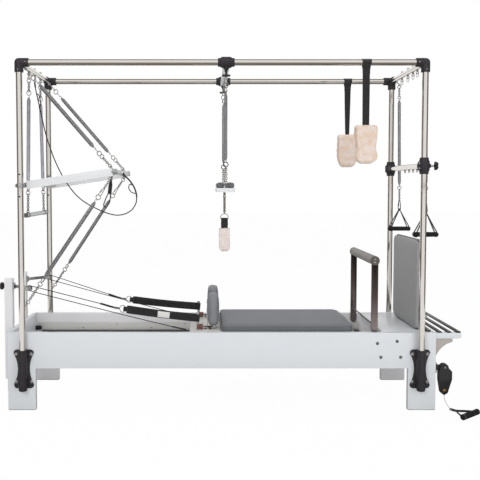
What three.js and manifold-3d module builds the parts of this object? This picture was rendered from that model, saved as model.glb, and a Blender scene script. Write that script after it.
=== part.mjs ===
// A reformer bed under a full steel trapeze frame, as used for pilates and therapy.
// Millimetres, +Z up, +X from the head end to the foot end, +Y from the near side to the far side.
// The origin is on the floor, at the middle of the whole unit's outer box.
import * as THREE from 'three';
import { mergeVertices } from 'three/addons/utils/BufferGeometryUtils.js';
import Module from 'manifold-3d';

const wasm = await Module();
wasm.setup();

// Driving dimensions of the steel frame
const halfLength = 1220;
const halfDepth = 360;
const canopyHeight = 2125;
const tubeRadius = 19;
const tubeWall = 2;
const tubeSides = 12;
const gap = 0.3;
const overrun = 10;
const bite = 1;

// Driving dimensions of the bed
const panelOverhang = 100;
const panelEnd = halfLength + panelOverhang;
const legWidth = 170;
const legInner = panelEnd - legWidth;
const panelTop = 482;
const panelBottom = 260;
const panelFace = 332;
const panelThickness = 35;
const trackTop = 362;
const trackHeight = 12;
const trackWidth = 24;
const trackInset = 58;
const trackHead = panelEnd - trackInset;
const footbarInset = 272;
const footbarX = halfLength - footbarInset;
const trackReach = 42;
const trackFoot = footbarX + trackReach;

// Driving dimensions of the moving parts
const carriageHeadReach = 200;
const carriageHead = -carriageHeadReach;
const carriageClear = 118;
const carriageFoot = footbarX - carriageClear;
const padHeadReach = 10;
const padHead = -padHeadReach;
const padHalfWidth = 282;
const padThickness = 44;
const footbarPivot = 440;
const footbarHeight = 923;
const pushPivot = 1387;
const pushLength = 571;
const pushDegrees = 8.5;
const trapezeX = 24;
const midBarDrop = 619;
const midBarHeight = canopyHeight - midBarDrop;
const riserY = 157;
const sheaveInset = 17;
const sheaveX = sheaveInset - halfLength;
const sheaveY = 252;
const sheaveHeight = 746;
const platformReach = 156;
const platformEnd = panelEnd + platformReach;
const housingReach = 58;
const housingX = panelEnd + housingReach;
const housingPivot = 264;

// Finishes
function finish(colour, roughness, metalness) {
  return new THREE.MeshStandardMaterial({ color: colour, roughness, metalness });
}
const whiteLacquer = finish(0xdfe1e4, 0.35, 0.0);
const polishedSteel = finish(0xc4c0bd, 0.22, 1.0);
const springSteel = finish(0x9a9b9f, 0.3, 1.0);
const blackCasting = finish(0x2c2a2d, 0.55, 0.0);
const blackWebbing = finish(0x17171a, 0.85, 0.0);
const greyVinyl = finish(0x808387, 0.6, 0.0);
const boardVinyl = finish(0x8f8f91, 0.6, 0.0);
const barFoam = finish(0x9c9995, 0.7, 0.0);
const darkSteel = finish(0x5c5552, 0.3, 0.9);
const creamFleece = finish(0xe2cfc0, 0.95, 0.0);
const aluminium = finish(0xb9bbbd, 0.35, 0.9);

// Solids: closed meshes that are joined and cut
const weldShare = 1e-4;

function toSolid(geometry) {
  const bare = new THREE.BufferGeometry();
  bare.setAttribute('position', geometry.getAttribute('position').clone());
  if (geometry.index) {
    bare.setIndex(geometry.index.clone());
  }
  const merged = mergeVertices(bare, weldShare * tubeRadius);
  return new wasm.Manifold(new wasm.Mesh({
    numProp: 3,
    vertProperties: new Float32Array(merged.getAttribute('position').array),
    triVerts: new Uint32Array(merged.index.array),
  }));
}

function toGeometry(solid) {
  const mesh = solid.getMesh();
  const geometry = new THREE.BufferGeometry();
  geometry.setAttribute('position', new THREE.BufferAttribute(new Float32Array(mesh.vertProperties), 3));
  geometry.setIndex(new THREE.BufferAttribute(new Uint32Array(mesh.triVerts), 1));
  geometry.computeVertexNormals();
  return geometry;
}

function join(...geometries) {
  let solid = toSolid(geometries[0]);
  for (const geometry of geometries.slice(1)) {
    solid = solid.add(toSolid(geometry));
  }
  return toGeometry(solid);
}

function cut(geometry, ...tools) {
  let solid = toSolid(geometry);
  for (const tool of tools) {
    solid = solid.subtract(toSolid(tool));
  }
  return toGeometry(solid);
}

// Basic shapes
function at(x, y, z) {
  return new THREE.Vector3(x, y, z);
}

function block(x0, x1, y0, y1, z0, z1) {
  const geometry = new THREE.BoxGeometry(x1 - x0, y1 - y0, z1 - z0);
  return geometry.translate((x0 + x1) / 2, (y0 + y1) / 2, (z0 + z1) / 2);
}

function rod(radius, from, to, sides = tubeSides) {
  const along = to.clone().sub(from);
  const geometry = new THREE.CylinderGeometry(radius, radius, along.length(), sides);
  const turn = new THREE.Quaternion().setFromUnitVectors(at(0, 1, 0), along.clone().normalize());
  geometry.applyQuaternion(turn);
  const middle = from.clone().add(to).multiplyScalar(1 / 2);
  return geometry.translate(middle.x, middle.y, middle.z);
}

function ball(radius, centre, sides = 8) {
  return new THREE.SphereGeometry(radius, sides, sides / 2).translate(centre.x, centre.y, centre.z);
}

function outline(points) {
  return new THREE.Shape(points.map(([u, v]) => new THREE.Vector2(u, v)));
}

function roundedOutline(halfU, v0, v1, radius) {
  const shape = new THREE.Shape();
  shape.moveTo(-halfU + radius, v0);
  shape.lineTo(halfU - radius, v0);
  shape.absarc(halfU - radius, v0 + radius, radius, -Math.PI / 2, 0);
  shape.lineTo(halfU, v1 - radius);
  shape.absarc(halfU - radius, v1 - radius, radius, 0, Math.PI / 2);
  shape.lineTo(-halfU + radius, v1);
  shape.absarc(-halfU + radius, v1 - radius, radius, Math.PI / 2, Math.PI);
  shape.lineTo(-halfU, v0 + radius);
  shape.absarc(-halfU + radius, v0 + radius, radius, Math.PI, Math.PI * 3 / 2);
  return shape;
}

// An outline in X and Z, drawn out from y0 to y1
function extrudeY(shape, y0, y1, curveSegments = 5) {
  const geometry = new THREE.ExtrudeGeometry(shape, { depth: y1 - y0, bevelEnabled: false, curveSegments });
  return geometry.rotateX(Math.PI / 2).translate(0, y1, 0);
}

// An outline in Y and Z, drawn out from x0 to x1
function extrudeX(shape, x0, x1, curveSegments = 5) {
  const geometry = new THREE.ExtrudeGeometry(shape, { depth: x1 - x0, bevelEnabled: false, curveSegments });
  return geometry.rotateX(Math.PI / 2).rotateZ(Math.PI / 2).translate(x0, 0, 0);
}

// A cushion standing on z = 0: rounded plan, sides drawn in between the corners, crowned top
const cushionCornerSteps = 4;
const cushionSideSteps = 3;
function cushion(halfX, halfY, corner, height, crown, drawIn, edge) {
  const ring = [];
  const corners = [[1, 1], [-1, 1], [-1, -1], [1, -1]];
  corners.forEach(([sx, sy], quarter) => {
    for (let step = 0; step <= cushionCornerSteps; step += 1) {
      const angle = (quarter + step / cushionCornerSteps) * Math.PI / 2;
      ring.push([sx * (halfX - corner) + corner * Math.cos(angle), sy * (halfY - corner) + corner * Math.sin(angle)]);
    }
    const next = corners[(quarter + 1) % corners.length];
    const angle = (quarter + 1) * Math.PI / 2;
    const start = ring[ring.length - 1];
    const end = [next[0] * (halfX - corner) + corner * Math.cos(angle), next[1] * (halfY - corner) + corner * Math.sin(angle)];
    for (let step = 1; step < cushionSideSteps; step += 1) {
      const along = step / cushionSideSteps;
      const pull = drawIn * Math.sin(Math.PI * along);
      ring.push([
        start[0] + (end[0] - start[0]) * along - pull * Math.cos(angle),
        start[1] + (end[1] - start[1]) * along - pull * Math.sin(angle),
      ]);
    }
  });
  const levels = [
    [edge, 0], [0, edge], [0, height / 2], [0, height - edge - crown],
    [edge / 2, height - edge / 2 - crown], [edge * 3 / 2, height - crown],
  ];
  const reach = Math.min(halfX, halfY);
  for (const share of [1 / 3, 2 / 3]) {
    levels.push([edge * 3 / 2 + (reach - edge * 3 / 2) * share, height - crown * (1 - share) ** 2]);
  }
  const points = [];
  for (const [inset, z] of levels) {
    for (const [x, y] of ring) {
      points.push(x * (1 - inset / halfX), y * (1 - inset / halfY), z);
    }
  }
  const count = ring.length;
  const bottom = points.length / 3;
  points.push(0, 0, 0);
  const top = bottom + 1;
  points.push(0, 0, height);
  const faces = [];
  for (let i = 0; i < count; i += 1) {
    const j = (i + 1) % count;
    faces.push(bottom, j, i);
    for (let level = 0; level + 1 < levels.length; level += 1) {
      const low = level * count;
      const high = low + count;
      faces.push(low + i, low + j, high + j, low + i, high + j, high + i);
    }
    const last = (levels.length - 1) * count;
    faces.push(last + i, last + j, top);
  }
  return closedMesh(points, faces);
}

function closedMesh(points, faces) {
  const geometry = new THREE.BufferGeometry();
  geometry.setAttribute('position', new THREE.Float32BufferAttribute(points, 3));
  geometry.setIndex(faces);
  geometry.computeVertexNormals();
  return geometry;
}

// A tube of a few sides swept through a list of points, with flat ends
function sweep(points, radius, sides) {
  const tangents = points.map((point, i) => {
    const before = points[Math.max(i - 1, 0)];
    const after = points[Math.min(i + 1, points.length - 1)];
    return after.clone().sub(before).normalize();
  });
  const helper = Math.abs(tangents[0].y) < 1 / 2 ? at(0, 1, 0) : at(1, 0, 0);
  let side = helper.sub(tangents[0].clone().multiplyScalar(helper.dot(tangents[0]))).normalize();
  const coords = [];
  points.forEach((point, i) => {
    if (i > 0) {
      const turn = new THREE.Quaternion().setFromUnitVectors(tangents[i - 1], tangents[i]);
      side = side.applyQuaternion(turn);
    }
    const up = tangents[i].clone().cross(side);
    for (let k = 0; k < sides; k += 1) {
      const angle = k / sides * Math.PI * 2;
      const spot = point.clone().addScaledVector(side, radius * Math.cos(angle)).addScaledVector(up, radius * Math.sin(angle));
      coords.push(spot.x, spot.y, spot.z);
    }
  });
  const faces = [];
  for (let i = 0; i + 1 < points.length; i += 1) {
    for (let k = 0; k < sides; k += 1) {
      const next = (k + 1) % sides;
      const low = i * sides;
      const high = low + sides;
      faces.push(low + k, low + next, high + next, low + k, high + next, high + k);
    }
  }
  const last = (points.length - 1) * sides;
  for (let k = 1; k + 1 < sides; k += 1) {
    faces.push(0, k + 1, k, last, last + k, last + k + 1);
  }
  return closedMesh(coords, faces);
}

// The least gap that a swept tube keeps to itself, measured on points along it
function selfGap(points, radius, turnSteps) {
  let least = Infinity;
  const near = Math.floor(turnSteps * 3 / 4);
  for (let i = 0; i < points.length; i += 1) {
    for (let j = i + near; j < points.length; j += 1) {
      least = Math.min(least, points[i].distanceTo(points[j]) - 2 * radius);
    }
  }
  return least;
}

// A coil spring from one eye to the other, with straight hook ends on its centre line
const curlSteps = 8;
const curlSides = 5;
function spring(name, from, to, headHook, tailHook, coilRadius, wireRadius, curls) {
  const along = to.clone().sub(from).normalize();
  const length = to.distanceTo(from);
  const coilFrom = headHook;
  const coilTo = length - tailHook;
  const helper = Math.abs(along.y) < 1 / 2 ? at(0, 1, 0) : at(1, 0, 0);
  const side = helper.sub(along.clone().multiplyScalar(helper.dot(along))).normalize();
  const up = along.clone().cross(side);
  const steps = curls * curlSteps;
  const points = [from.clone(), from.clone().addScaledVector(along, 2 * wireRadius)];
  const rise = (coilTo - coilFrom) / steps;
  points.push(from.clone().addScaledVector(along, coilFrom - rise));
  for (let step = 0; step <= steps; step += 1) {
    const angle = step / curlSteps * Math.PI * 2;
    const centre = from.clone().addScaledVector(along, coilFrom + rise * step);
    points.push(centre.addScaledVector(side, coilRadius * Math.cos(angle)).addScaledVector(up, coilRadius * Math.sin(angle)));
  }
  points.push(from.clone().addScaledVector(along, coilTo + rise));
  points.push(from.clone().addScaledVector(along, length - 2 * wireRadius));
  points.push(to.clone());
  const coil = points.slice(3, 4 + steps);
  console.log(`${name}: least gap to itself ${selfGap(coil, wireRadius, curlSteps).toFixed(1)} mm`);
  return sweep(points, wireRadius, curlSides);
}

// A free cord: a round section drawn along a smooth curve through chosen points
class RouteCurve extends THREE.CatmullRomCurve3 {
  // Steps follow the chosen points, so they are short where the points are close together
  getUtoTmapping(u) {
    return u;
  }
}

const cordSides = 8;
function cord(points, diameter, stepsPerPoint) {
  const curve = new RouteCurve(points.map((point) => at(...point)), false, 'centripetal');
  const steps = (points.length - 1) * stepsPerPoint;
  const section = new THREE.Shape();
  for (let k = 0; k < cordSides; k += 1) {
    const angle = k / cordSides * Math.PI * 2;
    const x = diameter / 2 * Math.cos(angle);
    const y = diameter / 2 * Math.sin(angle);
    if (k === 0) {
      section.moveTo(x, y);
    } else {
      section.lineTo(x, y);
    }
  }
  section.closePath();
  return new THREE.ExtrudeGeometry(section, { steps, bevelEnabled: false, extrudePath: curve });
}

// The unit: every piece is added here by name
const unit = new THREE.Group();
function add(name, geometry, material, place = at(0, 0, 0)) {
  const mesh = new THREE.Mesh(geometry, material);
  mesh.name = name;
  mesh.position.copy(place);
  unit.add(mesh);
  return mesh;
}
const sides = [['near', -1], ['far', 1]];
const ends = [['head', -1], ['foot', 1]];
const panelInner = panelFace - panelThickness;

// Retractable cord's hanger on the near panel: a plate, an ear and a pin
const hangerPlate = 6;
const hangerHalfHeight = 32;
const hangerHalfWidth = 15;
const earHalfThickness = 4;
const earHalfHeight = 14;
const housingPinRadius = 5;
const housingY = -(panelFace + panelInner) / 2;
const housingHalfThickness = 18;

function hanger() {
  const face = panelEnd;
  const plate = block(face - bite, face + hangerPlate, housingY - hangerHalfWidth, housingY + hangerHalfWidth,
    housingPivot - hangerHalfHeight, housingPivot + hangerHalfHeight);
  const ear = block(face, housingX + earHalfHeight, housingY - earHalfThickness, housingY + earHalfThickness,
    housingPivot - earHalfHeight, housingPivot + earHalfHeight);
  const pin = rod(housingPinRadius, at(housingX, housingY - housingHalfThickness, housingPivot),
    at(housingX, housingY + housingHalfThickness, housingPivot), 12);
  return [plate, ear, pin];
}

// Side panels: one lacquered board each, with its two legs, the carriage's track and the footbar's pin
const footbarPinRadius = 8;
const footbarPinLength = 20;
for (const [label, side] of sides) {
  const shape = outline([
    [-panelEnd, 0], [-legInner, 0], [-legInner, panelBottom], [legInner, panelBottom],
    [legInner, 0], [panelEnd, 0], [panelEnd, panelTop], [-panelEnd, panelTop],
  ]);
  const inner = side * panelInner;
  const board = extrudeY(shape, Math.min(inner, side * panelFace), Math.max(inner, side * panelFace));
  const trackY = [side * (panelInner - trackWidth), side * (panelInner + bite)].sort((a, b) => a - b);
  const track = block(-trackHead, trackFoot, trackY[0], trackY[1], trackTop - trackHeight, trackTop);
  const pin = rod(footbarPinRadius, at(footbarX, side * (panelInner + bite), footbarPivot),
    at(footbarX, side * (panelInner - footbarPinLength), footbarPivot), 16);
  const extras = side < 0 ? hanger() : [];
  add(`side_panel_${label}`, join(board, track, pin, ...extras), whiteLacquer);
}

// End panels: boards between the side panels, arched below; the foot one carries the deck
const endThickness = 28;
const headProud = 12;
const archFoot = 110;
const archRise = 95;
const archHalf = 235;
const deckLength = 320;
const deckHead = panelEnd - deckLength;
const deckThickness = 18;
const deckDrop = 2;
const slatWidth = 26;
const slatThickness = 8;
const slatSpacing = 58;
const innerSlatInset = 36;
const innerSlatX = panelEnd - innerSlatInset;
const bumperRadius = 16;
const bumperLength = 40;
const bumperInset = 20;
const bumperClear = 3;
const endHalf = panelInner - gap;
const headFace = -(panelEnd + headProud);

function endBoard(x0, x1) {
  const shape = new THREE.Shape();
  shape.moveTo(-endHalf, archFoot);
  shape.lineTo(-archHalf, archFoot);
  shape.quadraticCurveTo(-archHalf, archFoot + archRise, 0, archFoot + archRise);
  shape.quadraticCurveTo(archHalf, archFoot + archRise, archHalf, archFoot);
  shape.lineTo(endHalf, archFoot);
  shape.lineTo(endHalf, panelTop);
  shape.lineTo(-endHalf, panelTop);
  return extrudeX(shape, x0, x1, 8);
}

const headInner = headFace + endThickness;
const bumperZ = trackTop + bumperClear + bumperRadius;
const bumpers = sides.map(([, side]) => rod(bumperRadius,
  at(headInner - bite, side * (panelInner - bumperInset), bumperZ),
  at(headInner + bumperLength, side * (panelInner - bumperInset), bumperZ), 16));
add('head_panel', join(endBoard(headFace, headInner), ...bumpers), whiteLacquer);

const deckTop = panelTop - deckDrop;
const deck = block(deckHead, panelEnd - endThickness + bite, -endHalf, endHalf, deckTop - deckThickness, deckTop);
const innerSlat = block(innerSlatX - slatWidth / 2, innerSlatX + slatWidth / 2, -endHalf, endHalf,
  deckTop - bite, panelTop + slatThickness);
add('foot_panel', join(endBoard(panelEnd - endThickness, panelEnd), deck, innerSlat), whiteLacquer);

// Standing platform beyond the foot end: two arms, two gussets and three open slats
const armHeight = 36;
const gussetDrop = 118;
const gussetReach = 105;
const gussetThickness = 10;
function platformArm(side) {
  const radius = armHeight / 2;
  const shape = new THREE.Shape();
  const x0 = panelEnd + gap;
  shape.moveTo(x0, panelTop - armHeight);
  shape.lineTo(platformEnd - radius, panelTop - armHeight);
  shape.absarc(platformEnd - radius, panelTop - radius, radius, -Math.PI / 2, Math.PI / 2);
  shape.lineTo(x0, panelTop);
  const arm = extrudeY(shape, side < 0 ? -panelFace : panelInner, side < 0 ? -panelInner : panelFace);
  const curve = new THREE.Shape();
  const low = panelTop - armHeight;
  curve.moveTo(x0, low + bite);
  curve.lineTo(x0, low - gussetDrop);
  curve.quadraticCurveTo(x0 + gussetReach / 3, low - gussetDrop / 3, x0 + gussetReach, low - gussetDrop / 5);
  curve.lineTo(x0 + gussetReach, low + bite);
  const middle = side * (panelFace + panelInner) / 2;
  const web = extrudeY(curve, middle - gussetThickness / 2, middle + gussetThickness / 2);
  return [arm, web];
}
const slats = [1, 2, 3].map((place) => {
  const x = innerSlatX + place * slatSpacing;
  return block(x - slatWidth / 2, x + slatWidth / 2, -panelFace, panelFace, panelTop - bite, panelTop + slatThickness);
});
add('standing_platform', join(...platformArm(-1), ...platformArm(1), ...slats), whiteLacquer);

// Push-through bar's places, which the posts and springs share
const pushAngle = pushDegrees * Math.PI / 180;
const pushTubeX = -halfLength + pushLength * Math.cos(pushAngle);
const pushTubeZ = pushPivot + pushLength * Math.sin(pushAngle);
const pushTubeRadius = 16;
const pushSpringY = 297;
const postEyeHeight = 622;
const eyeRadius = 4;
const eyeStem = 22;
const pushPinRadius = 7;
const pushPinLength = 30;
const collarRadius = 27;
const collarHalf = 25;

function towards(from, to, distance) {
  return from.clone().addScaledVector(to.clone().sub(from).normalize(), distance);
}

function eye(from, to, startShare, length) {
  return rod(eyeRadius, towards(from, to, startShare), towards(from, to, length), 8);
}

// Posts: polished tubes that stand in the sockets and end inside the corner elbows
const postBottom = 150;
const elbowInset = 30;
const postTop = canopyHeight - elbowInset;
for (const [endLabel, end] of ends) {
  for (const [label, side] of sides) {
    const x = end * halfLength;
    const y = side * halfDepth;
    const parts = [rod(tubeRadius, at(x, y, postBottom), at(x, y, postTop))];
    if (end < 0) {
      parts.push(rod(collarRadius, at(x, y, pushPivot - collarHalf), at(x, y, pushPivot + collarHalf)));
      parts.push(rod(pushPinRadius, at(x, y - side * tubeRadius, pushPivot),
        at(x, y - side * (tubeRadius + pushPinLength), pushPivot), 16));
      const target = at(pushTubeX, side * pushSpringY, pushTubeZ);
      parts.push(eye(at(x, y, postEyeHeight), target, tubeRadius - bite, tubeRadius * 2 + eyeStem));
    }
    const bore = rod(tubeRadius - tubeWall, at(x, y, postBottom - overrun), at(x, y, postTop + overrun));
    add(`post_${endLabel}_${label}`, cut(join(...parts), bore), polishedSteel);
  }
}

// Post sockets: black castings bolted to the side panels, with waisted flanges
const socketTop = 380;
const socketBottom = 138;
const socketRadius = 26;
const flangeThickness = 6;
const flangeHalf = 62;
const waistHalf = 40;
const lobeRadius = 16;
function socketFlange() {
  const shape = new THREE.Shape();
  const half = (socketTop - socketBottom) / 2;
  shape.moveTo(-flangeHalf + lobeRadius, -half);
  shape.lineTo(flangeHalf - lobeRadius, -half);
  shape.absarc(flangeHalf - lobeRadius, -half + lobeRadius, lobeRadius, -Math.PI / 2, 0);
  shape.lineTo(flangeHalf, -half * 2 / 3);
  shape.quadraticCurveTo(waistHalf, -half / 3, waistHalf, 0);
  shape.quadraticCurveTo(waistHalf, half / 3, flangeHalf, half * 2 / 3);
  shape.lineTo(flangeHalf, half - lobeRadius);
  shape.absarc(flangeHalf - lobeRadius, half - lobeRadius, lobeRadius, 0, Math.PI / 2);
  shape.lineTo(-flangeHalf + lobeRadius, half);
  shape.absarc(-flangeHalf + lobeRadius, half - lobeRadius, lobeRadius, Math.PI / 2, Math.PI);
  shape.lineTo(-flangeHalf, half * 2 / 3);
  shape.quadraticCurveTo(-waistHalf, half / 3, -waistHalf, 0);
  shape.quadraticCurveTo(-waistHalf, -half / 3, -flangeHalf, -half * 2 / 3);
  shape.lineTo(-flangeHalf, -half + lobeRadius);
  shape.absarc(-flangeHalf + lobeRadius, -half + lobeRadius, lobeRadius, Math.PI, Math.PI * 3 / 2);
  return shape;
}
for (const [endLabel, end] of ends) {
  for (const [label, side] of sides) {
    const offset = panelFace + gap - halfDepth;
    const faces = [side * offset, side * (offset + flangeThickness)].sort((a, b) => a - b);
    const flange = extrudeY(socketFlange(), faces[0], faces[1], 3);
    flange.translate(0, 0, (socketTop + socketBottom) / 2);
    const barrel = rod(socketRadius, at(0, 0, socketBottom - overrun), at(0, 0, socketTop));
    const bore = rod(tubeRadius + gap, at(0, 0, postBottom - gap), at(0, 0, socketTop + overrun));
    const body = cut(join(flange, barrel), bore);
    add(`post_socket_${endLabel}_${label}`, body, blackCasting, at(end * halfLength, side * halfDepth, 0));
  }
}

// Top rails: tubes along the unit, each with a three-way elbow at both ends
const elbowRadius = 27;
const elbowReach = 58;
for (const [label, side] of sides) {
  const y = side * halfDepth;
  const parts = [rod(tubeRadius, at(-halfLength, y, canopyHeight), at(halfLength, y, canopyHeight))];
  const bores = [rod(tubeRadius - tubeWall, at(-halfLength, y, canopyHeight), at(halfLength, y, canopyHeight))];
  for (const [, end] of ends) {
    const corner = at(end * halfLength, y, canopyHeight);
    const inward = corner.clone().add(at(-end * elbowReach, 0, 0));
    const down = corner.clone().add(at(0, 0, -elbowReach));
    const across = corner.clone().add(at(0, -side * elbowReach, 0));
    parts.push(ball(elbowRadius, corner), rod(elbowRadius, corner, inward));
    parts.push(rod(elbowRadius, corner, down), rod(elbowRadius, corner, across));
    bores.push(rod(tubeRadius + gap, at(corner.x, y, canopyHeight - elbowReach - overrun),
      at(corner.x, y, canopyHeight)));
    bores.push(rod(tubeRadius + gap, at(corner.x, y - side * (elbowReach + overrun), canopyHeight),
      at(corner.x, y - side * (elbowInset - gap), canopyHeight)));
  }
  add(`top_rail_${label}`, cut(join(...parts), ...bores), polishedSteel);
}

// Cross rails: tubes across both ends of the canopy, with eyes for the springs that hang from them
const rollEyeY = 140;
const rollBarY = 200;
const rollBarRadius = 12.5;
const rollBarHalf = 252;
const pivotBall = 6;
const eyeDrop = 38;
const cordEyeDrop = 40;
const handEyeReach = 30;
const handSpringX = halfLength + handEyeReach;
const handSpringY = 278;
const handEyeDrop = 37;
const handEyeZ = canopyHeight - handEyeDrop;
const handGripReach = 42;
const handGripX = halfLength + handGripReach;
const handGripY = 278;
const handGripDrop = 1040;
const handGripZ = canopyHeight - handGripDrop;
const crossHalf = halfDepth - elbowInset - gap;
const rollPivotZ = canopyHeight - tubeRadius - eyeDrop;

function crossRail(x, eyes) {
  const tube = rod(tubeRadius, at(x, -crossHalf, canopyHeight), at(x, crossHalf, canopyHeight));
  const bore = rod(tubeRadius - tubeWall, at(x, -crossHalf - overrun, canopyHeight),
    at(x, crossHalf + overrun, canopyHeight));
  return cut(join(tube, ...eyes), bore);
}

const headEyes = [];
const footEyes = [];
for (const [, side] of sides) {
  const railCentre = at(-halfLength, side * pushSpringY, canopyHeight);
  const target = at(pushTubeX, side * pushSpringY, pushTubeZ);
  headEyes.push(eye(railCentre, target, tubeRadius - bite, tubeRadius + eyeStem));
  headEyes.push(rod(eyeRadius, at(-halfLength, side * rollEyeY, canopyHeight - tubeRadius + bite),
    at(-halfLength, side * rollEyeY, rollPivotZ), 8));
  headEyes.push(ball(pivotBall, at(-halfLength, side * rollEyeY, rollPivotZ)));
  const hang = at(handSpringX, side * handSpringY, handEyeZ);
  footEyes.push(rod(eyeRadius, towards(at(halfLength, side * handSpringY, canopyHeight), hang, tubeRadius - bite), hang, 8));
  footEyes.push(ball(pivotBall, hang));
}
headEyes.push(rod(eyeRadius, at(-halfLength, 0, canopyHeight - tubeRadius + bite),
  at(-halfLength, 0, canopyHeight - tubeRadius - cordEyeDrop), 8));
add('head_cross_rail', crossRail(-halfLength, headEyes), polishedSteel);
add('foot_cross_rail', crossRail(halfLength, footEyes), polishedSteel);

// Risers at the head end: slotted uprights that the rope pulleys slide on
const riserDepth = 50;
const riserHalfWidth = 20;
const riserTop = 796;
const riserBottom = 150;
const slotHalf = 8.8;
const slotTop = 765;
const slotBottom = 500;
const riserFace = headFace - gap;
for (const [label, side] of sides) {
  const body = block(riserFace - riserDepth, riserFace, -riserHalfWidth, riserHalfWidth, riserBottom, riserTop);
  const slot = block(riserFace - riserDepth - overrun, riserFace + overrun, -slotHalf, slotHalf, slotBottom, slotTop);
  add(`riser_${label}`, cut(body, slot), whiteLacquer, at(0, side * riserY, 0));
}

// Rope pulleys: a shaft through the riser, an arm turned outwards, and a fork with the sheave
const shaftRadius = 8;
const shaftProud = 3;
const armHalfThickness = 5;
const armHalfHeight = 10;
const forkHalfLength = 24;
const forkHalfHeight = 15;
const cheekThickness = 3;
const forkHalfGap = 8;
const axleRadius = 4;
const sheaveRadius = 18;
const sheaveGroove = 12;
const sheaveHalf = 6.5;
const grooveHalf = 4.5;
const washer = 12;
for (const [label, side] of sides) {
  const y = side * riserY;
  const z = sheaveHeight;
  const back = sheaveX - forkHalfLength;
  const sheaveSide = side * sheaveY;
  const shaft = rod(shaftRadius, at(riserFace - riserDepth - shaftProud, y, z), at(riserFace + washer, y, z), 16);
  const flange = block(riserFace + gap, riserFace + washer, y - riserHalfWidth, y + riserHalfWidth,
    z - riserHalfWidth, z + riserHalfWidth);
  const start = at(riserFace + washer - armHalfThickness, y, z);
  const end = at(back, sheaveSide, z);
  const along = end.clone().sub(start);
  const arm = block(0, along.length(), -armHalfThickness, armHalfThickness, -armHalfHeight, armHalfHeight);
  arm.rotateZ(Math.atan2(along.y, along.x)).translate(start.x, start.y, start.z);
  const bridge = block(back - armHalfThickness, back + cheekThickness, sheaveSide - forkHalfGap - cheekThickness,
    sheaveSide + forkHalfGap + cheekThickness, z - forkHalfHeight, z + forkHalfHeight);
  const cheeks = [-1, 1].map((hand) => {
    const inner = sheaveSide + hand * forkHalfGap;
    const outer = inner + hand * cheekThickness;
    return block(back, sheaveX + forkHalfHeight, Math.min(inner, outer), Math.max(inner, outer),
      z - forkHalfHeight, z + forkHalfHeight);
  });
  const axle = rod(axleRadius, at(sheaveX, sheaveSide - forkHalfGap - bite, z),
    at(sheaveX, sheaveSide + forkHalfGap + bite, z), 12);
  add(`pulley_arm_${label}`, join(shaft, flange, arm, bridge, ...cheeks, axle), aluminium);
  const wheel = join(
    rod(sheaveGroove, at(0, -sheaveHalf, 0), at(0, sheaveHalf, 0)),
    rod(sheaveRadius, at(0, -sheaveHalf, 0), at(0, -grooveHalf, 0)),
    rod(sheaveRadius, at(0, grooveHalf, 0), at(0, sheaveHalf, 0)),
  );
  const hole = rod(axleRadius + gap * 2, at(0, -overrun, 0), at(0, overrun, 0), 12);
  add(`sheave_${label}`, cut(wheel, hole), blackCasting, at(sheaveX, sheaveSide, z));
}

// Clamp knob of the near riser
const riserKnobRadius = 24;
const riserKnobThickness = 18;
const knobHub = 12;
const knobHubRadius = 12;
const knobFace = riserFace - riserDepth - gap;
const riserKnob = join(
  rod(knobHubRadius, at(0, 0, 0), at(-knobHub, 0, 0), 16),
  rod(riserKnobRadius, at(-knobHub + bite, 0, 0), at(-knobHub - riserKnobThickness, 0, 0)),
);
const knobBore = rod(shaftRadius + gap * 2, at(overrun, 0, 0), at(-shaftProud - gap * 2, 0, 0), 16);
add('riser_knob', cut(riserKnob, knobBore), blackCasting, at(knobFace, -riserY, sheaveHeight));

// Carriage: a plate with side skirts and wheels on the tracks, shoulder rest stems and strap pegs
const plateTop = 476;
const plateThickness = 12;
const plateHalf = 270;
const skirtThickness = 20;
const skirtBottom = 380;
const wheelRadius = 25;
const wheelWidth = 14;
const wheelHead = 60;
const wheelInset = 70;
const wheelFoot = carriageFoot - wheelInset;
const restReach = 51;
const restX = -restReach;
const restY = 161;
const restHalfThickness = 36;
const restHalfWidth = 60;
const restBottom = 498;
const restTop = 704;
const stemHalfX = 16;
const stemHalfY = 25;
const pegReach = 150;
const pegX = -pegReach;
const pegY = 200;
const pegTop = 585;
const pegRadius = 8;
const ropeEyeY = 215;
const ropeEyeZ = 470;
const ropeEyeLength = 24;
const ropeEyeRadius = 5;
const carriageParts = [
  block(carriageHead, carriageFoot, -plateHalf, plateHalf, plateTop - plateThickness, plateTop),
];
for (const [, side] of sides) {
  const skirt = [side * (plateHalf - skirtThickness), side * plateHalf].sort((a, b) => a - b);
  carriageParts.push(block(padHead, carriageFoot, skirt[0], skirt[1], skirtBottom, plateTop - bite));
  for (const x of [wheelHead, wheelFoot]) {
    const wheelZ = trackTop + gap + wheelRadius;
    carriageParts.push(rod(wheelRadius, at(x, side * (plateHalf - bite), wheelZ), at(x, side * (plateHalf + wheelWidth), wheelZ)));
  }
  carriageParts.push(block(restX - stemHalfX, restX + stemHalfX, side * restY - stemHalfY, side * restY + stemHalfY,
    plateTop - bite, restBottom - gap));
  carriageParts.push(rod(pegRadius, at(pegX, side * pegY, plateTop - bite), at(pegX, side * pegY, pegTop), 16));
  carriageParts.push(rod(ropeEyeRadius, at(carriageHead + ropeEyeRadius, side * ropeEyeY, ropeEyeZ),
    towards(at(carriageHead, side * ropeEyeY, ropeEyeZ), at(sheaveX, side * sheaveY, sheaveHeight), ropeEyeLength), 12));
}
add('carriage_frame', join(...carriageParts), aluminium);

const padLength = carriageFoot - padHead;
const padCorner = 42;
const padCrown = 5;
const padDraw = 3;
const padEdge = 7;
add('carriage_pad', cushion(padLength / 2, padHalfWidth, padCorner, padThickness, padCrown, padDraw, padEdge),
  greyVinyl, at(padHead + padLength / 2, 0, plateTop + gap));

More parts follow.
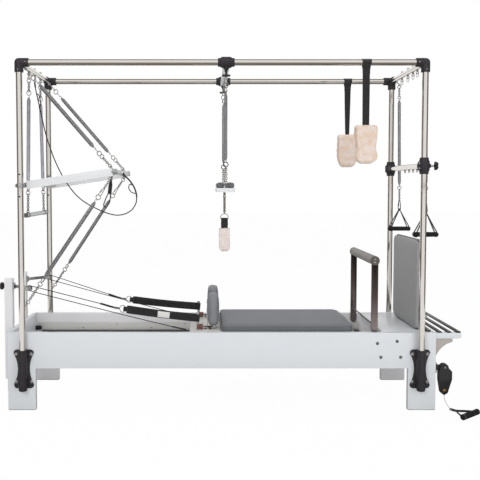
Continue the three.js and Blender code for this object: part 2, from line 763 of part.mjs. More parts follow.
const restCorner = 30;
const restCrown = 9;
const restEdge = 12;
const restDraw = 2;
for (const [label, side] of sides) {
  const body = cushion(restHalfWidth, (restTop - restBottom) / 2, restCorner, restHalfThickness * 2, restCrown, restDraw, restEdge);
  body.rotateX(Math.PI / 2).rotateZ(Math.PI / 2);
  add(`shoulder_rest_${label}`, body, greyVinyl, at(restX - restHalfThickness, side * restY, (restTop + restBottom) / 2));
}

// Footbar: two flat uprights on the panels' pins, a tube, a thin tie rod and a foam grip
const uprightHalf = 21;
const uprightInner = 284;
const uprightOuter = 294;
const gripRadius = 29;
const gripTube = 15;
const tieRodHeight = 530;
const tieRodOffset = 14;
const tieRodRadius = 4;
const footbarParts = [];
for (const [, side] of sides) {
  const plate = [side * uprightInner, side * uprightOuter].sort((a, b) => a - b);
  footbarParts.push(block(-uprightHalf, uprightHalf, plate[0], plate[1], footbarPivot, footbarHeight));
  footbarParts.push(rod(uprightHalf, at(0, plate[0], footbarPivot), at(0, plate[1], footbarPivot)));
  footbarParts.push(rod(gripRadius, at(0, plate[0], footbarHeight), at(0, plate[1], footbarHeight)));
}
footbarParts.push(rod(gripTube, at(0, -uprightInner - bite, footbarHeight), at(0, uprightInner + bite, footbarHeight)));
footbarParts.push(rod(tieRodRadius, at(-tieRodOffset, -uprightInner - bite, tieRodHeight),
  at(-tieRodOffset, uprightInner + bite, tieRodHeight), 8));
const footbarBores = sides.map(([, side]) => rod(footbarPinRadius + gap * 2,
  at(0, side * (uprightInner - overrun), footbarPivot), at(0, side * (uprightOuter + overrun), footbarPivot), 16));
add('footbar_frame', cut(join(...footbarParts), ...footbarBores), darkSteel, at(footbarX, 0, 0));
const gripBody = rod(gripRadius, at(0, -uprightInner + gap, 0), at(0, uprightInner - gap, 0));
const gripBore = rod(gripTube + gap, at(0, -uprightInner - overrun, 0), at(0, uprightInner + overrun, 0));
add('footbar_grip', cut(gripBody, gripBore), barFoam, at(footbarX, 0, footbarHeight));

// Jump board: a padded board that stands on the deck between the foot posts
const boardInset = 8;
const boardFace = halfLength - boardInset;
const boardThickness = 38;
const boardHalf = 262;
const boardTop = 1051;
const boardCorner = 42;
const boardCrown = 5;
const boardDraw = 2;
const boardEdge = 6;
const boardHeight = boardTop - deckTop - gap;
const board = cushion(boardHalf, boardHeight / 2, boardCorner, boardThickness, boardCrown, boardDraw, boardEdge);
board.rotateX(-Math.PI / 2).rotateZ(Math.PI / 2);
board.translate(boardFace + boardThickness, 0, deckTop + gap + boardHeight / 2);
add('jump_board', board, boardVinyl);

// Push-through bar: two flat arms and a cross tube, hinged on the head posts
const armY = 326;
const armHalf = 6;
const armHalfTall = 24;
const pushParts = [];
for (const [, side] of sides) {
  const arm = block(0, pushLength, side * armY - armHalf, side * armY + armHalf, -armHalfTall, armHalfTall);
  pushParts.push(arm);
  pushParts.push(rod(armHalfTall, at(0, side * armY - armHalf, 0), at(0, side * armY + armHalf, 0)));
  pushParts.push(rod(armHalfTall, at(pushLength, side * armY - armHalf, 0), at(pushLength, side * armY + armHalf, 0)));
}
pushParts.push(rod(pushTubeRadius, at(pushLength, -armY, 0), at(pushLength, armY, 0)));
const pushPinBore = rod(pushPinRadius + gap * 2, at(0, -halfDepth, 0), at(0, halfDepth, 0), 16);
const pushFrame = cut(join(...pushParts), pushPinBore);
pushFrame.rotateY(-pushAngle).translate(-halfLength, 0, pushPivot);
const pushEyes = [];
const pushEyeReach = 46;
const cordEyeReach = 24;
for (const [, side] of sides) {
  const centre = at(pushTubeX, side * pushSpringY, pushTubeZ);
  pushEyes.push(eye(centre, at(-halfLength, side * pushSpringY, canopyHeight), 0, pushEyeReach));
  pushEyes.push(eye(centre, at(-halfLength, side * halfDepth, postEyeHeight), 0, pushEyeReach));
}
const cordEyeTip = at(pushTubeX + cordEyeReach, 0, pushTubeZ - cordEyeReach);
pushEyes.push(rod(eyeRadius, at(pushTubeX, 0, pushTubeZ), cordEyeTip, 8));
add('push_bar', join(pushFrame, ...pushEyes), whiteLacquer);

// Push-through springs: two down from the head cross rail, two up from the head posts
const pushCoilRadius = 8.5;
const pushWireRadius = 5;
const upperHeadHook = 155;
const upperTailHook = 152;
const upperCurls = 4;
const lowerHeadHook = 190;
const lowerTailHook = 175;
const lowerCurls = 5;
for (const [label, side] of sides) {
  const centre = at(pushTubeX, side * pushSpringY, pushTubeZ);
  const railCentre = at(-halfLength, side * pushSpringY, canopyHeight);
  const top = towards(railCentre, centre, tubeRadius + eyeStem + gap);
  const lowEnd = towards(centre, railCentre, pushEyeReach + gap);
  add(`upper_spring_${label}`, spring(`upper_spring_${label}`, top, lowEnd, upperHeadHook, upperTailHook,
    pushCoilRadius, pushWireRadius, upperCurls), springSteel);
  const postCentre = at(-halfLength, side * halfDepth, postEyeHeight);
  const bottom = towards(postCentre, centre, tubeRadius * 2 + eyeStem + gap);
  const highEnd = towards(centre, postCentre, pushEyeReach + gap);
  add(`lower_spring_${label}`, spring(`lower_spring_${label}`, bottom, highEnd, lowerHeadHook, lowerTailHook,
    pushCoilRadius, pushWireRadius, lowerCurls), springSteel);
}

// Roll-down bar: a round bar on two springs that hang from the head cross rail
const rollCoilRadius = 7;
const rollWireRadius = 4;
const rollHeadHook = 118;
const rollTailHook = 55;
const rollCurls = 4;
const rollSpringDrop = 716;
const rollSpringEnd = rollPivotZ - rollSpringDrop;
const rollChainDrop = 150;
const rollBarHeight = rollSpringEnd - rollChainDrop;
const rollChainRadius = 4;
const rollBarParts = [rod(rollBarRadius, at(0, -rollBarHalf, 0), at(0, rollBarHalf, 0), 16)];
for (const [label, side] of sides) {
  const hang = at(-halfLength, side * rollEyeY, rollPivotZ);
  const foot = at(-halfLength, side * rollBarY, rollBarHeight);
  const shareDown = (rollPivotZ - rollSpringEnd) / (rollPivotZ - rollBarHeight);
  const low = hang.clone().lerp(foot, shareDown);
  add(`roll_down_spring_${label}`, spring(`roll_down_spring_${label}`, towards(hang, foot, pivotBall + gap), low,
    rollHeadHook, rollTailHook, rollCoilRadius, rollWireRadius, rollCurls), springSteel);
  const chainTop = towards(low, foot, gap);
  rollBarParts.push(rod(rollChainRadius, at(0, chainTop.y, chainTop.z - rollBarHeight), at(0, side * rollBarY, 0), 8));
}
add('roll_down_bar', join(...rollBarParts), aluminium, at(-halfLength, 0, rollBarHeight));

// Sliding trapeze carriage: a cross bar with a clamp round each top rail
const clampHalf = 42;
const clampHalfTall = 36;
const clampHalfWide = 30;
const crossBarHalf = 20;
const crossBarInset = 7;
const crossBarThickness = 28;
const crossBarTop = canopyHeight - crossBarInset;
const crossBarBottom = crossBarTop - crossBarThickness;
const clampScrewRadius = 7;
const clampScrewDrop = 42;
const tKnobHalf = 25;
const tKnobRadius = 5;
const trapezeSpringY = 276;
const trapezeEyeDrop = 30;
const clampParts = [block(-crossBarHalf, crossBarHalf, -halfDepth, halfDepth, crossBarBottom, crossBarTop)];
const clampBores = [];
for (const [, side] of sides) {
  const y = side * halfDepth;
  clampParts.push(block(-clampHalf, clampHalf, y - clampHalfWide, y + clampHalfWide,
    canopyHeight - clampHalfTall, canopyHeight + clampHalfTall));
  const screwEnd = canopyHeight - clampHalfTall - clampScrewDrop;
  clampParts.push(rod(clampScrewRadius, at(0, y, canopyHeight - clampHalfTall + bite), at(0, y, screwEnd), 12));
  clampParts.push(rod(tKnobRadius, at(-tKnobHalf, y, screwEnd), at(tKnobHalf, y, screwEnd), 12));
  clampParts.push(rod(eyeRadius, at(0, side * trapezeSpringY, crossBarBottom + bite),
    at(0, side * trapezeSpringY, crossBarBottom - trapezeEyeDrop), 8));
  clampParts.push(ball(pivotBall, at(0, side * trapezeSpringY, crossBarBottom - trapezeEyeDrop)));
  clampBores.push(rod(tubeRadius + gap, at(-clampHalf - overrun, y, canopyHeight), at(clampHalf + overrun, y, canopyHeight)));
}
add('trapeze_carriage', cut(join(...clampParts), ...clampBores), aluminium, at(trapezeX, 0, 0));

// Trapeze: two springs, and a padded white bar that hangs on them
const trapezePivot = crossBarBottom - trapezeEyeDrop;
const trapezeSpringDrop = 552;
const trapezeSpringEnd = trapezePivot - trapezeSpringDrop;
const trapezeCoilRadius = 7;
const trapezeWireRadius = 4;
const trapezeHeadHook = 100;
const trapezeTailHook = 36;
const trapezeCurls = 4;
const trayHalfWidth = 60;
const trayHalfLength = 300;
const trayDrop = 136;
const trayThickness = 20;
const trayTop = trapezeSpringEnd - trayDrop;
const trayBottom = trayTop - trayThickness;
const rollHalfWidth = 27;
const rollHeight = 34;
const rollTop = trayTop + rollHeight;
const rollCorner = 10;
const rollGap = 6;
for (const [label, side] of sides) {
  add(`trapeze_spring_${label}`, spring(`trapeze_spring_${label}`,
    at(0, 0, -pivotBall - gap), at(0, 0, trapezeSpringEnd - trapezePivot), trapezeHeadHook, trapezeTailHook,
    trapezeCoilRadius, trapezeWireRadius, trapezeCurls), springSteel, at(trapezeX, side * trapezeSpringY, trapezePivot));
}
const trayParts = [block(-trayHalfWidth, trayHalfWidth, -trayHalfLength, trayHalfLength, trayBottom, trayTop)];
for (const hand of [-1, 1]) {
  const middle = hand * (rollGap / 2 + rollHalfWidth);
  const shape = roundedOutline(rollHalfWidth, trayTop - bite, rollTop, rollCorner);
  trayParts.push(extrudeY(shape, -trayHalfLength, trayHalfLength, 3).translate(middle, 0, 0));
}
for (const [, side] of sides) {
  trayParts.push(rod(eyeRadius, at(0, side * trapezeSpringY, trayTop - bite),
    at(0, side * trapezeSpringY, trapezeSpringEnd - gap), 8));
}
const slingEyeDrop = 12;
trayParts.push(rod(eyeRadius, at(0, 0, trayBottom + bite), at(0, 0, trayBottom - slingEyeDrop), 8));
trayParts.push(ball(pivotBall, at(0, 0, trayBottom - slingEyeDrop)));
add('trapeze_bar', join(...trayParts), whiteLacquer, at(trapezeX, 0, 0));

// A fleece loop: a thick soft band folded into a long loop, open along X
function fleeceLoop(halfWidth, height, halfDeep, wall, top) {
  const shape = roundedOutline(halfDeep, top - height, top, halfDeep * 4 / 5);
  const hole = roundedOutline(halfDeep - wall, top - height + wall, top - wall, (halfDeep - wall) * 4 / 5);
  shape.holes.push(hole);
  return extrudeX(shape, -halfWidth, halfWidth, 3);
}

// Sling under the trapeze: swivel, ring, webbing and fleece loop
const slingPivot = trayBottom - slingEyeDrop;
const swivelRadius = 5;
const swivelDrop = 118;
const ringTop = slingPivot - swivelDrop;
const ringRadius = 26;
const ringWall = 7;
const ringHalf = 4;
const slingWebHalf = 21;
const slingWebThickness = 5;
const slingWebGrip = 2;
const slingWebLength = 62;
const slingFleeceHalf = 36;
const slingFleeceHeight = 160;
const slingFleeceDeep = 30;
const slingFleeceWall = 17;
const ringCentre = ringTop - ringRadius;
const slingWebTop = ringCentre - ringRadius + slingWebGrip;
const slingFleeceTop = slingWebTop - slingWebLength;
const ringSolid = cut(
  rod(ringRadius, at(0, -ringHalf, ringCentre), at(0, ringHalf, ringCentre), 12),
  rod(ringRadius - ringWall, at(0, -overrun, ringCentre), at(0, overrun, ringCentre), 12),
);
add('trapeze_sling', join(
  rod(swivelRadius, at(0, 0, slingPivot - pivotBall - gap), at(0, 0, ringTop - bite), 10),
  ringSolid,
  block(-slingWebHalf, slingWebHalf, -slingWebThickness / 2, slingWebThickness / 2,
    slingFleeceTop - bite, slingWebTop + bite),
  fleeceLoop(slingFleeceHalf, slingFleeceHeight, slingFleeceDeep, slingFleeceWall, slingFleeceTop),
), creamFleece, at(trapezeX, 0, 0));

// Hanging fleece straps: webbing round the top rail, a strap and a fleece loop
const nearFleeceInset = 355;
const farFleeceInset = 313;
const railLoopHalf = 30;
const railLoopClear = 0.9;
const railLoopWall = 4;
const strapHalfWidth = 22;
const strapThickness = 5;
const fleeceDrop = 371;
const fleeceTop = canopyHeight - fleeceDrop;
const fleeceHeight = 238;
const fleeceHalfWidth = 70;
const fleeceDeep = 44;
const fleeceWall = 24;
for (const [label, side] of sides) {
  const x = halfLength - (side < 0 ? nearFleeceInset : farFleeceInset);
  const inner = tubeRadius + railLoopClear;
  const loop = rod(inner + railLoopWall, at(-railLoopHalf, 0, canopyHeight), at(railLoopHalf, 0, canopyHeight));
  const hole = rod(inner, at(-railLoopHalf - overrun, 0, canopyHeight), at(railLoopHalf + overrun, 0, canopyHeight));
  const strap = block(-strapHalfWidth, strapHalfWidth, -strapThickness / 2, strapThickness / 2,
    fleeceTop - bite, canopyHeight - inner - railLoopWall + bite);
  const fleece = fleeceLoop(fleeceHalfWidth, fleeceHeight, fleeceDeep, fleeceWall, fleeceTop);
  add(`fleece_strap_${label}`, join(cut(loop, hole), strap, fleece), creamFleece, at(x, side * halfDepth, 0));
}

// Sliding cross bar on the foot posts, with a clamp round each post
const midClampHalf = 38;
const midClampHalfTall = 50;
const midScrewRadius = 8;
const midScrewLength = 14;
const midParts = [rod(tubeRadius, at(0, -halfDepth, 0), at(0, halfDepth, 0))];
const midBores = [];
for (const [, side] of sides) {
  const y = side * halfDepth;
  midParts.push(block(-midClampHalf, midClampHalf, y - midClampHalf, y + midClampHalf, -midClampHalfTall, midClampHalfTall));
  midBores.push(rod(tubeRadius + gap, at(0, y, -midClampHalfTall - overrun), at(0, y, midClampHalfTall + overrun)));
}
midParts.push(rod(midScrewRadius, at(midClampHalf - bite, -halfDepth, 0), at(midClampHalf + midScrewLength, -halfDepth, 0), 12));
add('mid_bar', cut(join(...midParts), ...midBores), aluminium, at(halfLength, 0, midBarHeight));

// Star knob that tightens the near clamp
const starRadius = 27;
const starThickness = 16;
const starLobes = 5;
const starHub = 12;
const starHubRadius = 13;
const starLobeRadius = 9;
const starParts = [
  rod(starHubRadius, at(0, 0, 0), at(starHub, 0, 0), 16),
  rod(starRadius - starLobeRadius, at(starHub - bite, 0, 0), at(starHub + starThickness, 0, 0), 20),
];
for (let lobe = 0; lobe < starLobes; lobe += 1) {
  const angle = lobe / starLobes * Math.PI * 2;
  const reach = starRadius - starLobeRadius;
  const y = reach * Math.cos(angle);
  const z = reach * Math.sin(angle);
  starParts.push(rod(starLobeRadius, at(starHub - bite, y, z), at(starHub + starThickness, y, z), 8));
}
add('star_knob', join(...starParts), blackCasting,
  at(halfLength + midClampHalf + midScrewLength + gap, -halfDepth, midBarHeight));

// Hand springs at the foot end, each with a strap triangle and a round grip
const handCoilRadius = 6;
const handWireRadius = 3.6;
const handHeadHook = 100;
const handTailHook = 169;
const handCurls = 5;
const apexDrop = 138;
const handGripHalf = 74;
const handGripRadius = 12;
const handWebHalf = 11;
const handWebWall = 3;
const apexHalf = 7;
for (const [label, side] of sides) {
  const hang = at(handSpringX, side * handSpringY, handEyeZ);
  const apex = at(handGripX, side * handGripY, handGripZ + apexDrop);
  add(`hand_spring_${label}`, spring(`hand_spring_${label}`, towards(hang, apex, pivotBall + gap), apex,
    handHeadHook, handTailHook, handCoilRadius, handWireRadius, handCurls), springSteel);
  const web = outline([
    [-apexHalf, apexDrop - gap], [-handGripHalf + handGripRadius, 0],
    [handGripHalf - handGripRadius, 0], [apexHalf, apexDrop - gap],
  ]);
  const inside = outline([
    [-apexHalf + handWebWall, apexDrop - handWebWall * 4], [-handGripHalf + handGripRadius + handWebWall * 2, handWebWall],
    [handGripHalf - handGripRadius - handWebWall * 2, handWebWall], [apexHalf - handWebWall, apexDrop - handWebWall * 4],
  ]);
  web.holes.push(inside);
  const strap = extrudeY(web, -handWebHalf, handWebHalf);
  const grip = rod(handGripRadius, at(-handGripHalf, 0, 0), at(handGripHalf, 0, 0), 16);
  add(`hand_grip_${label}`, join(strap, grip), blackWebbing, at(handGripX, side * handGripY, handGripZ));
}

// Retractable cord's housing: a flat drop-shaped case on the hanger's pin
const housingTopRadius = 24;
const housingBellyRadius = 42;
const housingBottomRadius = 26;
const topInset = 8;
const bellyX = 3;
const bellyDrop = 74;
const bottomInset = 2;
const bottomDrop = 142;
const housingNotch = 5.5;
const wireEyeLength = 8;
const wireEyeX = 2;
function housingOutline() {
  const shape = new THREE.Shape();
  shape.moveTo(-topInset - housingTopRadius, 0);
  shape.absarc(-topInset, 0, housingTopRadius, Math.PI, 0, true);
  shape.quadraticCurveTo(bellyX + housingBellyRadius, -bellyDrop / 3, bellyX + housingBellyRadius, -bellyDrop);
  shape.lineTo(-bottomInset + housingBottomRadius, -bottomDrop);
  shape.absarc(-bottomInset, -bottomDrop, housingBottomRadius, 0, Math.PI, true);
  shape.lineTo(bellyX - housingBellyRadius, -bellyDrop);
  shape.quadraticCurveTo(bellyX - housingBellyRadius, -bellyDrop / 3, -topInset - housingTopRadius, 0);
  return shape;
}
const housingCase = extrudeY(housingOutline(), -housingHalfThickness, housingHalfThickness, 6);
const notch = block(-housingTopRadius * 2, housingTopRadius * 2, -housingNotch, housingNotch,
  -housingTopRadius, housingTopRadius + overrun);
const housingBore = rod(housingPinRadius + gap * 2, at(0, -housingHalfThickness - overrun, 0),
  at(0, housingHalfThickness + overrun, 0), 12);
const housingLow = -bottomDrop - housingBottomRadius;
const nozzle = rod(eyeRadius, at(wireEyeX, 0, housingLow + housingBottomRadius / 2), at(wireEyeX, 0, housingLow - wireEyeLength), 10);
add('cord_housing', join(cut(housingCase, notch, housingBore), nozzle), blackCasting,
  at(housingX, housingY, housingPivot));

// Floor handle of the retractable cord: stop ball, webbing and grip, lying on the floor
const stopBall = 9;
const stopOut = 34;
const stopX = housingX + stopOut;
const stopReach = 344;
const floorGripRadius = 14;
const gripNearOut = 40;
const gripNearX = housingX + gripNearOut;
const gripNearReach = 512;
const gripFarOut = 174;
const gripFarX = housingX + gripFarOut;
const gripFarReach = 408;
const neckOut = 54;
const neckX = housingX + neckOut;
const neckReach = 366;
const webSpread = 30;
const floorGripNear = at(gripNearX, -gripNearReach, floorGripRadius);
const floorGripFar = at(gripFarX, -gripFarReach, floorGripRadius);
const floorNeck = at(neckX, -neckReach, stopBall);
const floorWebRadius = 6;
const floorStop = at(stopX, -stopReach, stopBall);
const floorWeb = sweep([floorStop, floorNeck, towards(floorNeck, floorGripFar, webSpread), floorGripFar], floorWebRadius, 6);
const floorWebNear = sweep([floorStop, floorNeck, towards(floorNeck, floorGripNear, webSpread), floorGripNear], floorWebRadius, 6);
add('floor_handle', join(ball(stopBall, floorStop), floorWeb, floorWebNear,
  rod(floorGripRadius, floorGripNear, floorGripFar, 16)), blackWebbing);

// Foot straps: webbing loops from a ring to the carriage's pegs
const strapRingReach = 606;
const strapRingY = 175;
const strapRingZ = 599;
const strapEndZ = 549;
const strapLoopHalf = 17;
const strapWall = 3;
const strapHalfTall = 25;
const strapSlack = 3.4;
const strapTongue = 44;
const tongueRadius = 5;
for (const [label, side] of sides) {
  const start = at(-strapRingReach, side * strapRingY, strapRingZ);
  const end = at(pegX, side * pegY, strapEndZ);
  const along = end.clone().sub(start);
  const inner = strapLoopHalf - strapWall;
  const length = along.length() + pegRadius + strapSlack + strapWall;
  const shape = new THREE.Shape();
  shape.moveTo(strapLoopHalf, -strapLoopHalf);
  shape.lineTo(length - strapLoopHalf, -strapLoopHalf);
  shape.absarc(length - strapLoopHalf, 0, strapLoopHalf, -Math.PI / 2, Math.PI / 2);
  shape.lineTo(strapLoopHalf, strapLoopHalf);
  shape.absarc(strapLoopHalf, 0, strapLoopHalf, Math.PI / 2, Math.PI * 3 / 2);
  const hole = new THREE.Path();
  hole.moveTo(strapLoopHalf, -inner);
  hole.lineTo(length - strapLoopHalf, -inner);
  hole.absarc(length - strapLoopHalf, 0, inner, -Math.PI / 2, Math.PI / 2);
  hole.lineTo(strapLoopHalf, inner);
  hole.absarc(strapLoopHalf, 0, inner, Math.PI / 2, Math.PI * 3 / 2);
  shape.holes.push(hole);
  const loop = new THREE.ExtrudeGeometry(shape, { depth: strapHalfTall * 2, bevelEnabled: false, curveSegments: 6 });
  loop.translate(0, 0, -strapHalfTall);
  const tongue = rod(tongueRadius, at(-strapTongue, 0, 0), at(bite, 0, 0), 10);
  const mesh = add(`foot_strap_${label}`, join(loop, tongue), blackWebbing, start);
  mesh.rotation.set(0, Math.atan2(-along.z, Math.hypot(along.x, along.y)), Math.atan2(along.y, along.x), 'ZYX');
}

// Ropes: from the carriage, round the sheave and out to the foot strap
const ropeDiameter = 5;
const ropeRoute = [
  [-223.6, -215.9, 476.8], [-300, -218.8, 494], [-420, -223.3, 523.5], [-540, -227.8, 554], [-660, -232.4, 585],
  [-780, -236.9, 616.5], [-900, -241.4, 648.5], [-1020, -246, 680.5], [-1110, -249.4, 704.5], [-1170, -251.6, 721],
  [-1198.5, -252, 729.9], [-1212, -252, 733], [-1218, -252, 741], [-1218.4, -252, 750], [-1213.5, -252, 758],
  [-1205, -252, 761.7], [-1196, -251.6, 760.2], [-1170, -247.6, 753.2], [-1110, -237.4, 736.1], [-1020, -222.1, 709.5],
  [-930, -206.9, 683], [-840, -191.6, 656.4], [-760, -178.6, 632.9], [-700, -172.4, 613.8], [-663.97, -171.82, 605.35],
  [-650.07, -172.58, 603.83],
];
for (const [label, side] of sides) {
  const route = ropeRoute.map(([x, y, z]) => [x, -side * y, z]);
  add(`rope_${label}`, cord(route, ropeDiameter, 1), blackWebbing);
}

// Safety cord between the head cross rail and the push-through bar
const safetyDiameter = 7;
const safetyRoute = [
  [-1220, 0, 2065.7], [-1219, 0, 2050], [-1214, 0, 2015], [-1204, 0, 1965], [-1190, 0, 1900], [-1172, 0, 1815],
  [-1150, 0, 1720], [-1122, 0, 1630], [-1088, 0, 1540], [-1048, 0, 1457], [-1000, 0, 1380], [-945, 0, 1315],
  [-880, 0, 1266], [-815, 0, 1232], [-750, 0, 1205], [-690, 0, 1192], [-635, 0, 1200], [-590, 0, 1226],
  [-562, 0, 1268], [-556, 0, 1318], [-568, 0, 1366], [-592, 0, 1408], [-616, 0, 1436], [-630.9, 0, 1447],
];
add('safety_cord', cord(safetyRoute, safetyDiameter, 2), blackWebbing);

// Wire of the retractable cord, from the housing to the stop ball
const wireDiameter = 3;
const wireRoute = [
  [1380, -314.5, 87.7], [1380, -314.5, 81], [1380.6, -315, 72], [1383, -317.5, 60], [1387, -321.5, 48],
  [1392, -327, 37], [1397, -332, 27.5], [1401.5, -335.8, 19.5], [1405.5, -338.9, 13.4],
];
add('housing_wire', cord(wireRoute, wireDiameter, 1), springSteel);

// The whole unit is moved so that the origin is at the middle of its outer box
const reachHead = knobFace - knobHub - riserKnobThickness;
const gripRun = floorGripFar.clone().sub(floorGripNear).normalize();
const reachFoot = floorGripFar.x + floorGripRadius * gripRun.y;
const reachNear = floorGripNear.y - floorGripRadius * gripRun.x;
const reachFar = halfDepth + fleeceDeep;
unit.position.set(-(reachHead + reachFoot) / 2, -(reachNear + reachFar) / 2, 0);

export default unit;
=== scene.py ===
# A reformer bed under a full steel trapeze frame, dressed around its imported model.
# Shapes are drawn in the unit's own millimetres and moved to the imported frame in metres.
import math

import bmesh
import bpy
from mathutils import Matrix, Vector, noise


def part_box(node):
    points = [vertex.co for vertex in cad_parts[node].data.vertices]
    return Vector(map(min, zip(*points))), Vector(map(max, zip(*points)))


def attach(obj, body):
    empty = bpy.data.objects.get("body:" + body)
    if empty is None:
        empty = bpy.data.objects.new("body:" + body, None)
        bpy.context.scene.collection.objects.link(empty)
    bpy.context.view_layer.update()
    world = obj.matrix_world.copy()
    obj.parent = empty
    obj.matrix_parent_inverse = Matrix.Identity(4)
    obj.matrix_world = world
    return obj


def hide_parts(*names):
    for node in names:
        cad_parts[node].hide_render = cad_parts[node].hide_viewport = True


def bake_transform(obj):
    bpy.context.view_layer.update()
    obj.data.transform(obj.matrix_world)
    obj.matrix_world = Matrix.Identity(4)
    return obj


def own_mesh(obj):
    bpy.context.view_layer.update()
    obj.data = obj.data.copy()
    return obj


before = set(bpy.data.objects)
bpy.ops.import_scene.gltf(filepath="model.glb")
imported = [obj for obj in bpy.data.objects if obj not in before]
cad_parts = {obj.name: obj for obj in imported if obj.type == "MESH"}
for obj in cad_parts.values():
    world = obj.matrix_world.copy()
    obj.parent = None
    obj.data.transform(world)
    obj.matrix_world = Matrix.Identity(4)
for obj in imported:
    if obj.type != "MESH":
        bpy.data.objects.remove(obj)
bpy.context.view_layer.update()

# The unit's place: its four posts stand at equal distances from the middle of the bed,
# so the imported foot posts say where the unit's own millimetres lie in the frame.
half_length = 1220.0
half_depth = 360.0
near_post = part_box("post_foot_near")
far_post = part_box("post_foot_far")
middle_x = (near_post[0][0] + near_post[1][0]) / 2 - half_length / 1000
middle_y = (near_post[0][1] + far_post[1][1]) / 2
to_metres = Matrix.Translation((middle_x, middle_y, 0.0)) @ Matrix.Scale(0.001, 4)


def at(x, y, z):
    """A place in the unit's own millimetres."""
    return Vector((x, y, z))


def spot(x, y, z):
    """The same place in the scene's metres."""
    return to_metres @ Vector((x, y, z))


# The camera stands near the foot of the room at eye height, level but for a slight tilt,
# and its lens is shifted so that the near side panel fills the photograph's frame.
camera_tilt = 2.53
camera_data = bpy.data.cameras.new("camera")
camera_data.sensor_width = 36.0
camera_data.lens = 49.0005
camera_data.shift_x = 0.0691
camera_data.shift_y = -0.0524
camera_data.clip_end = 100.0
camera = bpy.data.objects.new("camera", camera_data)
camera.location = spot(-92.5, -4315.5, 1384.7)
camera.rotation_euler = (math.radians(90 - camera_tilt), 0.0, 0.0)
bpy.context.scene.collection.objects.link(camera)
bpy.context.scene.camera = camera
bpy.context.scene.view_settings.view_transform = "Standard"


# Finishes: each is one Principled shader with the nodes that vary it over the surface.
# Sums on shader values are written as Python sums, and every node comes from node().
class Signal:
    """A shader value. Python sums on it add the Math nodes."""

    def __init__(self, finish, socket):
        self.finish = finish
        self.socket = socket

    def sum_of(self, operation, first, second):
        return self.finish.node("ShaderNodeMath", {"operation": operation}, {0: first, 1: second})

    def __add__(self, other):
        return self.sum_of("ADD", self, other)

    def __sub__(self, other):
        return self.sum_of("SUBTRACT", self, other)

    def __rsub__(self, other):
        return self.sum_of("SUBTRACT", other, self)

    def __mul__(self, other):
        return self.sum_of("MULTIPLY", self, other)

    def __pow__(self, other):
        return self.sum_of("POWER", self, other)

    __radd__ = __add__
    __rmul__ = __mul__


def paint(red, green, blue):
    """A colour as it looks on a screen, from 0 to 255, made linear."""
    linear = []
    for value in (red / 255, green / 255, blue / 255):
        linear.append(value / 12.92 if value <= 0.04045 else ((value + 0.055) / 1.055) ** 2.4)
    return (*linear, 1.0)


class Finish:
    """One finish, and the record's material slot that it belongs to."""

    def __init__(self, name, slot, constants):
        self.slot = slot
        self.material = bpy.data.materials.new(name)
        self.material.use_nodes = True
        self.tree = self.material.node_tree
        self.shader = self.tree.nodes["Principled BSDF"]
        for socket, value in constants.items():
            self.shader.inputs[socket].default_value = value
        self.place = self.node("ShaderNodeTexCoord", {}, {}, "Object")

    def node(self, kind, settings, sockets, output=0):
        node = self.tree.nodes.new(kind)
        for key, value in settings.items():
            if key == "stops":
                self.set_stops(node.color_ramp.elements, value)
            else:
                setattr(node, key, value)
        for key, value in sockets.items():
            self.join(value, node.inputs[key])
        return Signal(self, node.outputs[output])

    def set_stops(self, elements, stops):
        while len(elements) < len(stops):
            elements.new(1.0)
        for element, (position, colour) in zip(elements, stops):
            element.position = position
            element.color = colour

    def join(self, value, socket):
        if isinstance(value, Signal):
            self.tree.links.new(value.socket, socket)
        else:
            socket.default_value = value

    def feed(self, socket, value):
        self.join(value, self.shader.inputs[socket])

    def stretched(self, x, y, z):
        return self.node("ShaderNodeMapping", {}, {"Vector": self.place, "Scale": (x, y, z)})

    def cloud(self, scale, detail=3.0, place=None):
        place = place or self.place
        return self.node("ShaderNodeTexNoise", {}, {"Vector": place, "Scale": scale, "Detail": detail})

    def cells(self, scale, feature="F1"):
        return self.node("ShaderNodeTexVoronoi", {"feature": feature}, {"Vector": self.place, "Scale": scale})

    def ramp(self, value, *stops):
        return self.node("ShaderNodeValToRGB", {"stops": stops}, {0: value})

    def tint(self, factor, first, second):
        return self.node("ShaderNodeMix", {"data_type": "RGBA"}, {0: factor, 6: first, 7: second}, 2)

    def part(self, place, axis):
        return self.node("ShaderNodeSeparateXYZ", {}, {0: place}, axis)

    def sine(self, value):
        return self.node("ShaderNodeMath", {"operation": "SINE"}, {0: value})

    def raise_by(self, height, distance, strength=1.0):
        sockets = {"Height": height, "Distance": distance, "Strength": strength}
        self.feed("Normal", self.node("ShaderNodeBump", {}, sockets))

    def mottle(self, first, second, scale, detail=4.0):
        self.feed("Base Color", self.tint(self.cloud(scale, detail), paint(*first), paint(*second)))


# The studio: plain white all round, soft lamps in front and above, and a pale floor.
# Grey screens that only reflections see give polished steel its streaks.
world = bpy.data.worlds.new("studio")
bpy.context.scene.world = world
world.use_nodes = True
world_tree = world.node_tree
world_tree.nodes.clear()


class Surround(Finish):
    """The world's own nodes, made the way a finish's are."""

    def __init__(self, tree):
        self.tree = tree


def seen_directly(finish):
    """One for rays that should meet the plain white background."""
    camera_ray = finish.node("ShaderNodeLightPath", {}, {}, "Is Camera Ray")
    glossy_ray = finish.node("ShaderNodeLightPath", {}, {}, "Is Glossy Ray")
    clear_ray = finish.node("ShaderNodeLightPath", {}, {}, "Is Transmission Ray")
    both = finish.node("ShaderNodeMath", {"operation": "MAXIMUM"}, {0: camera_ray, 1: glossy_ray})
    return finish.node("ShaderNodeMath", {"operation": "MAXIMUM"}, {0: both, 1: clear_ray})


